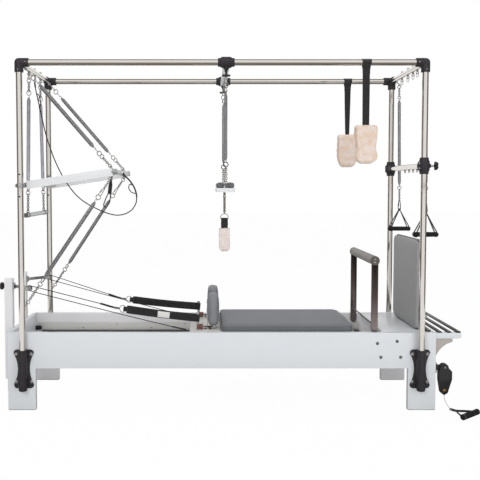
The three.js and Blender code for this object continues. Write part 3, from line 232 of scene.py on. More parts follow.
surround = Surround(world_tree)
ambient_strength = 0.5
ambient = surround.node("ShaderNodeBackground", {},
    {"Color": (1.0, 1.0, 1.0, 1.0), "Strength": ambient_strength})
white = surround.node("ShaderNodeBackground", {}, {"Color": (1.0, 1.0, 1.0, 1.0), "Strength": 1.0})
mixed = surround.node("ShaderNodeMixShader", {}, {0: seen_directly(surround), 1: ambient, 2: white})
world_output = world_tree.nodes.new("ShaderNodeOutputWorld")
world_tree.links.new(mixed.socket, world_output.inputs["Surface"])


def lamp(name, place, target, width, height, watts):
    data = bpy.data.lights.new(name, "AREA")
    data.shape = "RECTANGLE"
    data.size = width
    data.size_y = height
    data.energy = watts
    light = bpy.data.objects.new(name, data)
    light.location = place
    light.rotation_euler = (Vector(target) - Vector(place)).to_track_quat("-Z", "Y").to_euler()
    light.visible_glossy = False
    bpy.context.scene.collection.objects.link(light)


lamp("key_lamp", (-1.6, -4.6, 3.0), (0.0, 0.0, 0.9), 2.4, 2.4, 95.0)
lamp("fill_lamp", (3.6, -3.6, 1.2), (0.0, 0.0, 0.7), 2.0, 2.6, 52.0)
lamp("top_lamp", (0.0, 0.4, 4.6), (0.0, 0.0, 0.0), 4.0, 2.4, 70.0)


def panel_object(name, corners, material):
    shape = bmesh.new()
    shape.faces.new([shape.verts.new(corner) for corner in corners])
    mesh = bpy.data.meshes.new(name)
    shape.to_mesh(mesh)
    shape.free()
    mesh.materials.append(material)
    sheet = bpy.data.objects.new(name, mesh)
    bpy.context.scene.collection.objects.link(sheet)
    return sheet


floor_reach = 30.0
floor_white = Finish("floor_paper", None, {"Roughness": 0.9, "Base Color": (0.9, 0.9, 0.9, 1.0)})
floor_glow = floor_white.node("ShaderNodeEmission", {}, {"Color": (1.0, 1.0, 1.0, 1.0), "Strength": 1.0})
floor_own = Signal(floor_white, floor_white.shader.outputs[0])
floor_share = seen_directly(floor_white) * 0.975
floor_mix = floor_white.node("ShaderNodeMixShader", {}, {0: floor_share, 1: floor_own, 2: floor_glow})
floor_white.tree.links.new(floor_mix.socket, floor_white.tree.nodes["Material Output"].inputs["Surface"])
panel_object("floor", [(-floor_reach, -floor_reach, 0.0), (floor_reach, -floor_reach, 0.0),
    (floor_reach, floor_reach, 0.0), (-floor_reach, floor_reach, 0.0)], floor_white.material)

screen_grey = Finish("screen_cloth", None, {"Roughness": 1.0, "Base Color": paint(133, 128, 122),
    "Specular IOR Level": 0.0})


def screen(name, corners):
    sheet = panel_object(name, corners, screen_grey.material)
    sheet.visible_camera = False
    sheet.visible_diffuse = False
    sheet.visible_shadow = False
    sheet.visible_transmission = False


for screen_name, hand in (("screen_left", -1), ("screen_right", 1)):
    screen(screen_name, [(hand * 4.6, -3.2, 0.0), (hand * 4.6, 4.6, 0.0), (hand * 4.6, 4.6, 5.5),
        (hand * 4.6, -3.2, 5.5)])
for screen_name, front, back, level in (("screen_below", -1.0, 3.2, 0.004),
    ("screen_middle", -3.9, -0.42, 1.39), ("screen_above", -1.0, 3.2, 5.6)):
    screen(screen_name, [(-3.2, front, level), (3.2, front, level), (3.2, back, level), (-3.2, back, level)])


# Shapes: rods, bent bars, slabs, turned parts and castings, all in millimetres.
# A piece joins its shapes into one mesh, takes one finish and rides on one body.
def aimed(start, end, roll=0.0):
    """A frame at start whose Z axis runs to end."""
    turn = (end - start).to_track_quat("Z", "Y").to_matrix().to_4x4()
    return Matrix.Translation(start) @ turn @ Matrix.Rotation(roll, 4, "Z")


def soften(shape, width, segments=2, sharper=0.6, limited=True):
    """Rounds the edges of a shape that turn sharply."""
    edges = [edge for edge in shape.edges if edge.is_manifold and edge.calc_face_angle(0.0) > sharper]
    bmesh.ops.bevel(shape, geom=edges, offset=width, offset_type="OFFSET", affect="EDGES", segments=segments,
        profile=0.5, material=-1, clamp_overlap=limited)
    return shape


def rod(radius, start, end, round_by=1.0, sides=28, end_radius=None):
    """A straight round bar with eased rims."""
    shape = bmesh.new()
    length = (end - start).length
    bmesh.ops.create_cone(shape, cap_ends=True, segments=sides, radius1=radius, radius2=end_radius or radius,
        depth=length, matrix=aimed(start, end) @ Matrix.Translation((0, 0, length / 2)))
    if round_by:
        soften(shape, round_by)
    return shape


def cross_rod(radius, x, half, z, round_by, sides):
    """A round bar straight across the bed."""
    return rod(radius, at(x, -half, z), at(x, half, z), round_by, sides)


def ball(radius, centre, sides=16):
    shape = bmesh.new()
    bmesh.ops.create_uvsphere(shape, u_segments=sides, v_segments=sides // 2, radius=radius,
        matrix=Matrix.Translation(centre))
    return shape


def slab(outline, axis, low, high, round_by=0.0, segments=2, sharper=0.6):
    """A flat outline drawn out along one axis, with eased edges."""
    places = {"X": lambda u, v: (low, u, v), "Y": lambda u, v: (u, low, v), "Z": lambda u, v: (u, v, low)}
    steps = {"X": (high - low, 0, 0), "Y": (0, high - low, 0), "Z": (0, 0, high - low)}
    shape = bmesh.new()
    face = shape.faces.new([shape.verts.new(places[axis](u, v)) for u, v in outline])
    grown = bmesh.ops.extrude_face_region(shape, geom=[face])
    moved = [item for item in grown["geom"] if isinstance(item, bmesh.types.BMVert)]
    bmesh.ops.translate(shape, verts=moved, vec=steps[axis])
    bmesh.ops.recalc_face_normals(shape, faces=shape.faces)
    if round_by:
        soften(shape, round_by, segments, sharper)
    return shape


def block(x0, x1, y0, y1, z0, z1, round_by=1.0):
    """A square-edged bar or plate with eased edges."""
    shape = slab([(x0, y0), (x1, y0), (x1, y1), (x0, y1)], "Z", z0, z1)
    return soften(shape, round_by) if round_by else shape


def arc(u, v, radius, start, end, steps=8):
    """Points along an arc, in degrees."""
    turns = [math.radians(start + (end - start) * step / steps) for step in range(steps + 1)]
    return [(u + radius * math.cos(turn), v + radius * math.sin(turn)) for turn in turns]


def turned(profile, start, end, sides=28):
    """A lathe-turned part: pairs of distance along and radius, spun about the line from start to end."""
    shape = bmesh.new()
    verts = [shape.verts.new((radius, 0.0, along)) for along, radius in profile]
    edges = [shape.edges.new(pair) for pair in zip(verts, verts[1:])]
    bmesh.ops.spin(shape, geom=verts + edges, cent=(0, 0, 0), axis=(0, 0, 1), dvec=(0, 0, 0), angle=math.tau,
        steps=sides, use_merge=True, use_duplicate=False)
    bmesh.ops.remove_doubles(shape, verts=shape.verts, dist=0.001)
    bmesh.ops.recalc_face_normals(shape, faces=shape.faces)
    bmesh.ops.transform(shape, matrix=aimed(start, end), verts=shape.verts)
    return shape


def bent(points, radius, closed=False, roundness=2):
    """A round bar bent along points. Its UV map runs along it in metres, and once round it."""
    data = bpy.data.curves.new("bend", "CURVE")
    data.dimensions = "3D"
    data.bevel_depth = radius
    data.bevel_resolution = roundness
    data.use_fill_caps = not closed
    spline = data.splines.new("POLY")
    spline.points.add(len(points) - 1)
    for place, point in zip(spline.points, points):
        place.co = (*point, 1.0)
    spline.use_cyclic_u = closed
    holder = bpy.data.objects.new("bend", data)
    bpy.context.scene.collection.objects.link(holder)
    mesh = bpy.data.meshes.new_from_object(holder)
    shape = bmesh.new()
    shape.from_mesh(mesh)
    bmesh.ops.remove_doubles(shape, verts=shape.verts, dist=radius * 0.001)
    reach = sum((second - first).length for first, second in zip(points, points[1:])) / 1000
    layer = shape.loops.layers.uv.active
    for face in shape.faces:
        for loop in face.loops:
            loop[layer].uv.x *= reach
    bpy.data.objects.remove(holder)
    bpy.data.curves.remove(data)
    bpy.data.meshes.remove(mesh)
    return shape


def ring(centre, radius, wire, normal, sides=28):
    """A closed wire ring."""
    frame_of = aimed(centre, centre + normal)
    points = [frame_of @ Vector((radius * math.cos(turn), radius * math.sin(turn), 0.0))
        for turn in (math.tau * step / sides for step in range(sides))]
    return bent(points, wire, closed=True, roundness=1)


def oval(start, end, half_width, wire, roll=0.0):
    """A closed wire link from start to end."""
    length = (end - start).length
    straight = max(length / 2 - half_width, 0.0)
    points = arc(straight, 0.0, half_width, -90, 90, 7) + arc(-straight, 0.0, half_width, 90, 270, 7)
    turn = aimed(start, end, roll)
    return bent([turn @ Vector((v, 0.0, u + length / 2)) for u, v in points], wire, closed=True, roundness=1)


def chain(start, end, link=19.0, wire=2.3, half_width=6.2):
    """Links along a line, each turned a quarter to the one before."""
    count = max(2, round((end - start).length / (link - 3 * wire)))
    step = (end - start) / count
    lap = step.normalized() * wire * 1.5
    return [oval(start + step * place - lap, start + step * (place + 1) + lap, half_width, wire,
        roll=math.pi / 2 * (place % 2)) for place in range(count)]


def facing(start, end):
    """A frame at start whose Z axis runs to end, and whose X axis lies across the bed's length."""
    run = (end - start).normalized()
    across = run.cross(at(0, 1, 0)).normalized()
    return Matrix.Translation(start) @ Matrix((across, run.cross(across), run)).transposed().to_4x4()


def snap_hook(start, end, wire=2.8, half_width=8.5):
    """A pear-shaped snap hook with its gate, its hinge barrel and the eye at its small end."""
    length = (end - start).length
    turn = facing(start, end)
    pear = arc(length - half_width, 0.0, half_width, -80, 80, 8) + arc(half_width * 0.55, 0.0,
        half_width * 0.5, 100, 260, 6)
    loop = bent([turn @ Vector((v, 0.0, u)) for u, v in pear], wire, closed=True, roundness=1)
    gate_low = turn @ Vector((-half_width * 0.62, 0.0, length * 0.3))
    gate_high = turn @ Vector((-half_width * 0.86, 0.0, length * 0.66))
    return [loop, rod(wire * 1.45, gate_low, gate_high, 0.4, 12)]


def cast(shapes, voxel=2.2, smoothing=3):
    """One casting out of several shapes, with soft inner corners."""
    mesh = bpy.data.meshes.new("casting")
    joined = merged(shapes)
    joined.to_mesh(mesh)
    joined.free()
    holder = bpy.data.objects.new("casting", mesh)
    bpy.context.scene.collection.objects.link(holder)
    fill = holder.modifiers.new("fill", "REMESH")
    fill.mode = "VOXEL"
    fill.voxel_size = voxel
    bpy.context.view_layer.update()
    solid = bpy.data.meshes.new_from_object(holder.evaluated_get(bpy.context.evaluated_depsgraph_get()))
    shape = bmesh.new()
    shape.from_mesh(solid)
    for _ in range(smoothing):
        bmesh.ops.smooth_vert(shape, verts=shape.verts, factor=0.5, use_axis_x=True, use_axis_y=True,
            use_axis_z=True)
    bpy.data.objects.remove(holder)
    bpy.data.meshes.remove(mesh)
    bpy.data.meshes.remove(solid)
    return shape


def merged(shapes):
    whole = bmesh.new()
    for shape in shapes:
        mesh = bpy.data.meshes.new("part")
        shape.to_mesh(mesh)
        shape.free()
        whole.from_mesh(mesh)
        bpy.data.meshes.remove(mesh)
    return whole


def piece(name, shapes, finish, stands_for, body="frame", between=None, flattens=None, sharp=35.0):
    """One visible piece: its shapes in one mesh with its finish; the solids that it stands for are hidden.
    It rides on the body, or stays fixed in place if between is given; flattens only gives it a mesh of its
    own."""
    whole = merged(shapes)
    whole.transform(to_metres)
    mesh = bpy.data.meshes.new(name)
    whole.to_mesh(mesh)
    whole.free()
    mesh.materials.append(finish.material)
    mesh.shade_smooth()
    mesh.set_sharp_from_angle(angle=math.radians(sharp))
    item = bpy.data.objects.new(name, mesh)
    bpy.context.scene.collection.objects.link(item)
    if between:
        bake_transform(item)
    else:
        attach(item, body)
    if flattens:
        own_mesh(item)
    if stands_for:
        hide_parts(*stands_for.split())
    return item


def pieces(stands_for, body, *members):
    """Pieces on one body that stand for the same solids: a name, its shapes and its finish for each."""
    for name, shapes, finish in members:
        piece(name, shapes, finish, stands_for, body)


def smooth_route(points, steps=6):
    """Points along the smooth curve that passes through the chosen ones."""
    chosen = [Vector(point) for point in points]
    guides = [2 * chosen[0] - chosen[1], *chosen, 2 * chosen[-1] - chosen[-2]]
    route = []
    for before, start, end, after in zip(guides, guides[1:], guides[2:], guides[3:]):
        t1 = math.sqrt((start - before).length)
        t2 = t1 + math.sqrt((end - start).length)
        t3 = t2 + math.sqrt((after - end).length)
        for step in range(steps):
            t = t1 + (t2 - t1) * step / steps
            first = before.lerp(start, t / t1)
            second = start.lerp(end, (t - t1) / (t2 - t1))
            third = end.lerp(after, (t - t2) / (t3 - t2))
            near = first.lerp(second, t / t2)
            far = second.lerp(third, (t - t1) / (t3 - t1))
            route.append(near.lerp(far, (t - t1) / (t2 - t1)))
    route.append(chosen[-1])
    return route


def even_route(points, spacing):
    """The same line with evenly spaced points."""
    lengths = [0.0]
    for first, second in zip(points, points[1:]):
        lengths.append(lengths[-1] + (second - first).length)
    count = max(2, round(lengths[-1] / spacing))
    route = []
    place = 0
    for step in range(count + 1):
        target = lengths[-1] * step / count
        while place < len(points) - 2 and lengths[place + 1] < target:
            place += 1
        span = lengths[place + 1] - lengths[place]
        route.append(points[place].lerp(points[place + 1], (target - lengths[place]) / span))
    return route


def cord_piece(name, route, diameter, finish, stands_for, stiffness, lay, **rest):
    """A cord: a round tube along its route."""
    item = piece(name, [bent(route, diameter / 2)], finish, stands_for, **rest)
    path = [tuple(to_metres @ point) for point in route]
    length = sum((second - first).length for first, second in zip(route, route[1:])) / 1000
    diameter / 1000
    return item


# Ropes: 5 mm braided black cords, one each side. Each is tied to an eye on the carriage,
# runs up to its sheave at the head end, turns round it and comes back to a foot strap.
rope_route = [(-223.6, -215.9, 476.8), (-300, -218.8, 494), (-420, -223.3, 523.5), (-540, -227.8, 554),
    (-660, -232.4, 585), (-780, -236.9, 616.5), (-900, -241.4, 648.5), (-1020, -246, 680.5),
    (-1110, -249.4, 704.5), (-1170, -251.6, 721), (-1198.5, -252, 729.9), (-1212, -252, 733),
    (-1218, -252, 741), (-1218.4, -252, 750), (-1213.5, -252, 758), (-1205, -252, 761.7),
    (-1196, -251.6, 760.2), (-1170, -247.6, 753.2), (-1110, -237.4, 736.1), (-1020, -222.1, 709.5),
    (-930, -206.9, 683), (-840, -191.6, 656.4), (-760, -178.6, 632.9), (-700, -172.4, 613.8),
    (-663.97, -171.82, 605.35), (-650.07, -172.58, 603.83)]
rope_diameter = 5.0
rope_turn_x = -1060.0
rope_lift_x = -1180.0
carriage_travel = 800.0
sides = (("near", -1), ("far", 1))

braid = Finish("black_braid", "black_webbing", {"Roughness": 0.78, "Sheen Weight": 0.08,
    "Specular IOR Level": 0.25})
braid_place = braid.node("ShaderNodeUVMap", {"uv_map": "UVMap"}, {})
braid_along = braid.part(braid_place, "X") * 900.0
braid_round = braid.part(braid_place, "Y") * (math.tau * 3)
braid_height = braid.sine(braid_along + braid_round) * braid.sine(braid_along - braid_round)
braid.feed("Base Color", braid.tint(braid_height * 0.5 + 0.5, paint(9, 9, 10), paint(32, 31, 32)))
braid.raise_by(braid_height, 0.0006, 0.8)


def squeeze(joint_end, line_end):
    """How much of a line is left when the carriage has slid to the head end."""
    return (rope_turn_x - (joint_end - carriage_travel)) / (rope_turn_x - line_end)


for label, side in sides:
    route = even_route([Vector((x, -side * y, z)) for x, y, z in smooth_route(rope_route)], 7.0)
    turn_first = next(place for place, point in enumerate(route) if point.x < rope_turn_x)
    turn_last = max(place for place, point in enumerate(route) if point.x < rope_turn_x)
    carriage_keep = squeeze(route[0].x, route[0].x)
    strap_keep = squeeze(-150.0, -150.0)
    rope = (rope_diameter, braid, f"rope_{label}", "limp", "taut")
    cord_piece(f"rope_{label}_to_carriage", route[:turn_first + 1], *rope,
        flattens=("carriage_slide", rope_turn_x, carriage_keep))
    cord_piece(f"rope_{label}_round_sheave", route[turn_first:turn_last + 1], *rope,
        between=(f"pulley_{label}", "frame", (rope_lift_x, 0, 740), (rope_turn_x, 0, 740)))
    cord_piece(f"rope_{label}_to_strap", route[turn_last:], *rope,
        flattens=("carriage_slide", rope_turn_x, strap_keep))

# Safety cord: a 7 mm black cord that catches the push-through bar if a spring fails.
# It hangs from an eye in the head cross rail and is tied to an eye on the bar's tube.
safety_route = [(-1220, 0, 2065.7), (-1219, 0, 2050), (-1214, 0, 2015), (-1204, 0, 1965), (-1190, 0, 1900),
    (-1172, 0, 1815), (-1150, 0, 1720), (-1122, 0, 1630), (-1088, 0, 1540), (-1048, 0, 1457),
    (-1000, 0, 1380), (-945, 0, 1315), (-880, 0, 1266), (-815, 0, 1232), (-750, 0, 1205), (-690, 0, 1192),
    (-635, 0, 1200), (-590, 0, 1226), (-562, 0, 1268), (-556, 0, 1318), (-568, 0, 1366), (-592, 0, 1408),
    (-616, 0, 1436), (-630.9, 0, 1447)]
safety_line = even_route(smooth_route(safety_route), 9.0)
cord_piece("safety_cord_line", safety_line, 7.0, braid, "safety_cord", "limp", "hanging",
    between=("frame", "push_through_bar", safety_route[0], safety_route[-1]))

# Housing wire: the 3 mm steel wire of the retractable cord, pulled out to its stop ball.
# It leaves the nozzle under the housing and ends in the ball that lies on the floor.
wire_route = [(1380, -314.5, 87.7), (1380, -314.5, 81), (1380.6, -315, 72), (1383, -317.5, 60),
    (1387, -321.5, 48), (1392, -327, 37), (1397, -332, 27.5), (1401.5, -335.8, 19.5), (1405.5, -338.9, 13.4)]
wire_steel = Finish("wire_steel", "spring_steel", {"Roughness": 0.35, "Metallic": 0.9})
wire_place = wire_steel.node("ShaderNodeUVMap", {"uv_map": "UVMap"}, {})
wire_twist = wire_steel.sine(wire_steel.part(wire_place, "X") * 2400.0 + wire_steel.part(wire_place, "Y")
    * (math.tau * 6))
wire_steel.feed("Base Color", wire_steel.tint(wire_twist * 0.5 + 0.5, paint(120, 120, 122),
    paint(205, 204, 202)))
wire_steel.raise_by(wire_twist, 0.0003, 0.6)
wire_line = even_route(smooth_route(wire_route), 3.0)
cord_piece("housing_wire_line", wire_line, 3.0, wire_steel, "housing_wire", "medium", "hanging",
    between=("housing", "frame", wire_route[0], wire_route[-1]))

# Side panels: each is one lacquered board, 35 mm thick, with its two legs cut out of it.
# An aluminium track for the carriage's wheels is screwed inside, and rubber pads are under the legs.
panel_end = 1320.0
leg_inner = 1150.0
panel_top = 482.0
panel_bottom = 260.0
panel_face = 332.0
panel_inner = 297.0
footbar_x = 948.0
footbar_pivot = 440.0


def rounded(*corners, steps=5):
    """An outline with round corners: each corner is its two places and its radius."""
    outline = []
    for before, corner, after in zip(corners[-1:] + corners[:-1], corners, corners[1:] + corners[:1]):
        tip = Vector(corner[:2])
        radius = corner[2]
        if not radius:
            outline.append(tuple(tip))
            continue
        back = (Vector(before[:2]) - tip).normalized()
        ahead = (Vector(after[:2]) - tip).normalized()
        half = back.angle(ahead) / 2
        centre = tip + (back + ahead).normalized() * radius / math.sin(half)
        first = (tip + back * radius / math.tan(half) - centre).normalized()
        last = (tip + ahead * radius / math.tan(half) - centre).normalized()
        for step in range(steps + 1):
            outline.append(tuple(centre + first.slerp(last, step / steps) * radius))
    return outline


def rectangle(left, right, low, high, radius, top_radius=None, steps=5):
    """A rectangle with rounded corners, whose upper ones may have a radius of their own."""
    top = radius if top_radius is None else top_radius
    return rounded((left, low, radius), (right, low, radius), (right, high, top), (left, high, top),
        steps=steps)


def bolt(centre, out, radius=7.0, proud=3.0):
    """A dome-headed bolt with its hexagon socket, and a washer under it."""
    tip = centre + out.normalized() * proud
    dome = turned([(0.0, radius), (proud * 0.45, radius), (proud * 0.85, radius * 0.72),
        (proud, radius * 0.45), (proud * 0.98, radius * 0.3), (proud * 0.35, radius * 0.28),
        (proud * 0.35, 0.0)], centre, tip, 18)
    washer = turned([(-0.4, radius * 1.35), (0.5, radius * 1.35), (0.9, radius * 1.2), (0.9, 0.0)], centre,
        tip, 20)
    return [dome, washer]


def plain(name, slot, constants, dark, light, scale, rough=None, grain=None, detail=4.0):
    """A mottled finish. Rough is a cloud's scale, span and base,
    and grain is its scale, detail, height and strength."""
    finish = Finish(name, slot, constants)
    finish.mottle(dark, light, scale, detail)
    if rough:
        finish.feed("Roughness", finish.cloud(rough[0]) * rough[1] + rough[2])
    if grain:
        finish.raise_by(finish.cloud(grain[0], grain[1]), grain[2], grain[3])
    return finish


lacquer = plain("white_lacquer", "white_panel", {"Coat Weight": 0.2, "Coat Roughness": 0.15}, (210, 213, 217),
    (216, 219, 222), 2.5, rough=(30.0, 0.12, 0.3), grain=(260.0, 2.0, 0.0002, 0.25))

# A lighter, warmer copy of the white lacquer for the far side board and the risers: painted light that
# brightens them where they stand in shade.
riser_lacquer = plain("riser_lacquer", "white_panel", {"Coat Weight": 0.2, "Coat Roughness": 0.15},
    (222, 221, 223), (229, 228, 230), 2.5, rough=(30.0, 0.12, 0.3), grain=(260.0, 2.0, 0.0002, 0.25))

ledge_white = plain("ledge_lacquer", "white_panel", {"Roughness": 0.45}, (198, 197, 193), (208, 207, 203),
    4.0, grain=(260.0, 2.0, 0.0002, 0.25))

bolt_steel = plain("bolt_steel", "clamp_aluminium", {"Metallic": 0.9}, (176, 174, 172), (206, 204, 202), 90.0,
    rough=(300.0, 0.2, 0.2))

bolt_grey = plain("dark_bolt_steel", "clamp_aluminium", {"Metallic": 0.8}, (112, 110, 110), (138, 136, 134),
    120.0, rough=(260.0, 0.2, 0.3))

rubber = plain("black_rubber", "black_casting", {"Specular IOR Level": 0.3}, (24, 24, 26), (36, 35, 37), 60.0,
    rough=(120.0, 0.2, 0.65), grain=(700.0, 2.0, 0.0004, 0.4))

brushed = Finish("brushed_aluminium", "clamp_aluminium", {"Metallic": 1.0})
brushed_grain = brushed.cloud(60.0, 4.0, brushed.stretched(0.06, 1.0, 8.0))
brushed.feed("Base Color", brushed.tint(brushed_grain, paint(168, 169, 171), paint(204, 205, 206)))
brushed.feed("Roughness", brushed_grain * 0.25 + 0.25)
brushed.raise_by(brushed_grain, 0.0002, 0.4)

for label, side in sides:
    board_outline = rounded((-panel_end, 2.4, 4), (-leg_inner, 2.4, 4), (-leg_inner, panel_bottom, 5),
        (leg_inner, panel_bottom, 5), (leg_inner, 2.4, 4), (panel_end, 2.4, 4), (panel_end, panel_top, 4),
        (-panel_end, panel_top, 4))
    low, high = sorted((side * panel_inner, side * panel_face))
    # The far board takes the copy of the lacquer with painted light.
    piece(f"side_panel_board_{label}", [slab(board_outline, "Y", low, high, 2.2, 3)],
        lacquer if side < 0 else riser_lacquer, f"side_panel_{label}")
    track_low, track_high = sorted((side * 273.0, side * panel_inner))
    lip_low, lip_high = sorted((side * 273.0, side * 276.0))
    piece(f"track_{label}", [block(-1262, 990, track_low, track_high, 352, 362, 0.8),
        block(-1262, 990, lip_low, lip_high, 350, 362, 0.8)], brushed, f"side_panel_{label}")
    ledge_low, ledge_high = sorted((side * (panel_inner - 4), side * (panel_inner + 1)))
    piece(f"track_ledge_{label}", [block(-1290, 990, ledge_low, ledge_high, 362.5, 418, 1.0)], ledge_white,
        f"side_panel_{label}")
    ledge_screws = []
    for place in range(4):
        for first_x, z in ((-970, 378), (-732, 405)):
            ledge_screws += bolt(at(first_x + place * 484, side * (panel_inner - 3.8), z), at(0, -side, 0),
                3.4, 1.2)
    piece(f"ledge_screws_{label}", ledge_screws, bolt_grey, f"side_panel_{label}")
    outer = side * panel_face
    heads = []
    for x, z in ((958, 416), (1079, 429), (980, 330), (1102, 330)):
        heads += bolt(at(x, outer, z), at(0, side, 0), 7.5)
    pin_tip = at(footbar_x, side * (panel_inner - 20), footbar_pivot)
    heads += [turned([(-2, 8), (16, 8), (17, 7), (20, 7), (20, 0)],
        at(footbar_x, side * panel_inner, footbar_pivot), pin_tip, 20)]
    piece(f"side_bolts_{label}", heads, bolt_grey, f"side_panel_{label}")
    pads = []
    for end in (-1, 1):
        pad_low, pad_high = sorted((end * (leg_inner + 1), end * (panel_end - 1)))
        pads.append(block(pad_low, pad_high, low + 1, high - 1, 0.0, 3.0, 0.8))
    piece(f"leg_pads_{label}", pads, rubber, f"side_panel_{label}")

# Retractable cord's hanger: a small black plate and ear screwed to the near panel's foot end.
# The housing swings on its pin.
housing_x = 1378.0
housing_y = -314.5
housing_pivot = 264.0

casting = plain("black_casting", "black_casting", {"Specular IOR Level": 0.45}, (34, 32, 35), (50, 47, 51),
    40.0, rough=(160.0, 0.25, 0.38), grain=(900.0, 2.0, 0.0004, 0.5))

ear = rounded((1320, 246, 0), (1392, 250, 13), (1392, 278, 13), (1320, 282, 0))
plate = rectangle(-329.5, -299.5, 232, 296, 4)
hanger_shapes = [slab(ear, "Y", housing_y - 4, housing_y + 4, 0.8), slab(plate, "X", 1319.5, 1326, 0.8)]
piece("housing_hanger", hanger_shapes, casting, "side_panel_near")
hanger_bolts = [rod(5, at(housing_x, housing_y - 18, housing_pivot),
    at(housing_x, housing_y + 18, housing_pivot), 0.8)]
for z in (240, 288):
    hanger_bolts += bolt(at(1326, housing_y, z), at(1, 0, 0), 3.6, 2.0)
piece("hanger_bolts", hanger_bolts, bolt_steel, "side_panel_near")

# End panels: lacquered boards between the side panels, arched below.
# The head one carries two rubber bumpers for the carriage, and the foot one carries the deck.
end_half = 296.7
arch_foot = 110.0
arch_rise = 95.0
arch_half = 235.0
head_face = -1332.0
deck_head = 1000.0
deck_top = 480.0


def swept(first, guide, last, steps=8):
    """Points on a plain curve from first to last, pulled towards guide."""
    first, guide, last = Vector(first), Vector(guide), Vector(last)
    return [tuple(first.lerp(guide, step / steps).lerp(guide.lerp(last, step / steps), step / steps))
        for step in range(steps + 1)]


arched = [(-end_half, arch_foot), *swept((-arch_half, arch_foot), (-arch_half, arch_foot + arch_rise),
    (0, arch_foot + arch_rise)), *swept((0, arch_foot + arch_rise), (arch_half, arch_foot + arch_rise),
    (arch_half, arch_foot))[1:], (end_half, arch_foot), (end_half, panel_top), (-end_half, panel_top)]
piece("head_board", [slab(arched, "X", head_face, head_face + 28, 1.8, 3)], lacquer, "head_panel")
bumpers = []
for label, side in sides:
    root = at(head_face + 27, side * 277, 381)
    bumpers.append(turned([(0, 16), (30, 16), (36, 14.5), (39.5, 11), (41, 6), (41, 0)], root,
        root + at(1, 0, 0), 24))
piece("bumpers", bumpers, rubber, "head_panel")
pieces("foot_panel", "frame", ("foot_board", [slab(arched, "X", panel_end - 28, panel_end, 1.8, 3)], lacquer),
    ("deck", [block(deck_head, panel_end - 27, -end_half, end_half, deck_top - 18, deck_top, 1.6)], lacquer))

# Standing platform: two arms with curved gussets, and four black slats across them.
# The innermost slat lies on the foot board and the other three are open below.
slat_spacing = 58.0
inner_slat_x = 1284.0
arm_low = 446.0
platform_end = 1476.0

slat_black = Finish("slat_black", "black_casting", {"Coat Weight": 0.1})
slat_grain = slat_black.cloud(20.0, 5.0, slat_black.stretched(6.0, 0.5, 6.0))
slat_black.feed("Base Color", slat_black.tint(slat_grain, paint(26, 25, 27), paint(44, 42, 43)))
slat_black.feed("Roughness", slat_grain * 0.2 + 0.4)
slat_black.raise_by(slat_grain, 0.0004, 0.4)

# The gussets' white lacquer is painted grey-brown: painted shade for where they stand under the arms.
gusset_painted_shade = plain("gusset_lacquer_painted_shade", "white_panel", {"Roughness": 0.45}, (164, 158, 153), (180, 173, 168),
    8.0, grain=(260.0, 2.0, 0.0002, 0.25))

platform_shapes = []
gussets = []
for label, side in sides:
    low, high = sorted((side * panel_inner, side * panel_face))
    arm = rounded((panel_end + 0.3, arm_low, 0), (platform_end, arm_low, 17.9),
        (platform_end, panel_top, 17.9), (panel_end + 0.3, panel_top, 0))
    gusset_low = arm_low - 118
    gusset = [(panel_end + 0.3, arm_low + 1), (panel_end + 0.3, gusset_low),
        *swept((panel_end + 0.3, gusset_low), (panel_end + 35, arm_low - 39),
        (panel_end + 105, arm_low - 24))[1:], (panel_end + 105, arm_low + 1)]
    platform_shapes.append(slab(arm, "Y", low, high, 1.6))
    gussets.append(slab(gusset, "Y", side * 314.5 - 5, side * 314.5 + 5, 0.8))
pieces("standing_platform", "frame", ("platform_arms", platform_shapes, lacquer),
    ("platform_gussets", gussets, gusset_painted_shade))
slat_shapes = []
slat_screws = []
for place in range(4):
    x = inner_slat_x + place * slat_spacing
    reach = end_half if place == 0 else panel_face
    floor_of_slat = deck_top - 1 if place == 0 else panel_top - 1
    slat_shapes.append(block(x - 13, x + 13, -reach, reach, floor_of_slat, panel_top + 8, 2.0))
    for label, side in sides:
        slat_screws += bolt(at(x, side * (reach - 18), panel_top + 7.6), at(0, 0, 1), 4.0, 1.4)
piece("inner_slat", [slat_shapes[0]], slat_black, "foot_panel")
pieces("standing_platform", "frame", ("open_slats", slat_shapes[1:], slat_black),
    ("slat_screws", slat_screws, bolt_steel))

# Posts: polished stainless tubes, 38 mm across, one at each corner of the bed.
# The head ones are drilled for other settings and carry a split collar for the push-through bar.
tube_radius = 19.0
post_bottom = 150.0
post_top = 2095.0
push_pivot = 1387.0
push_angle = math.radians(8.5)
push_length = 571.0
push_tube_x = -half_length + push_length * math.cos(push_angle)
push_tube_z = push_pivot + push_length * math.sin(push_angle)
push_spring_y = 297.0
post_eye_z = 622.0

polished = Finish("polished_stainless", "polished_tube", {"Metallic": 1.0})
polished_grain = polished.cloud(5.0, 2.0)
polished.feed("Base Color", polished.tint(polished_grain, paint(214, 209, 203), paint(226, 222, 217)))
polished.feed("Roughness", polished_grain * 0.04 + 0.06)
polished.raise_by(polished.cloud(9.0, 1.0), 0.0001, 0.02)


def eye_bolt(root, tip, wire=3.2, ring_radius=7.5, across=None):
    """A threaded stem with its nut, ending in a ring that is centred at tip."""
    run = (tip - root).normalized()
    neck = tip - run * ring_radius
    normal = across or run.cross(at(0, 1, 0) if abs(run.y) < 0.6 else at(1, 0, 0))
    nut = turned([(0, 6.8), (1, 7.4), (5, 7.4), (6, 6.8), (6, 0)], root, tip, 6)
    return [rod(wire, root - run * 2, neck, 0.4, 14), nut, ring(tip, ring_radius, wire, normal)]


hole_black = plain("hole_shadow", "black_casting", {}, (12, 12, 13), (22, 21, 22), 80.0,
    rough=(90.0, 0.2, 0.6))

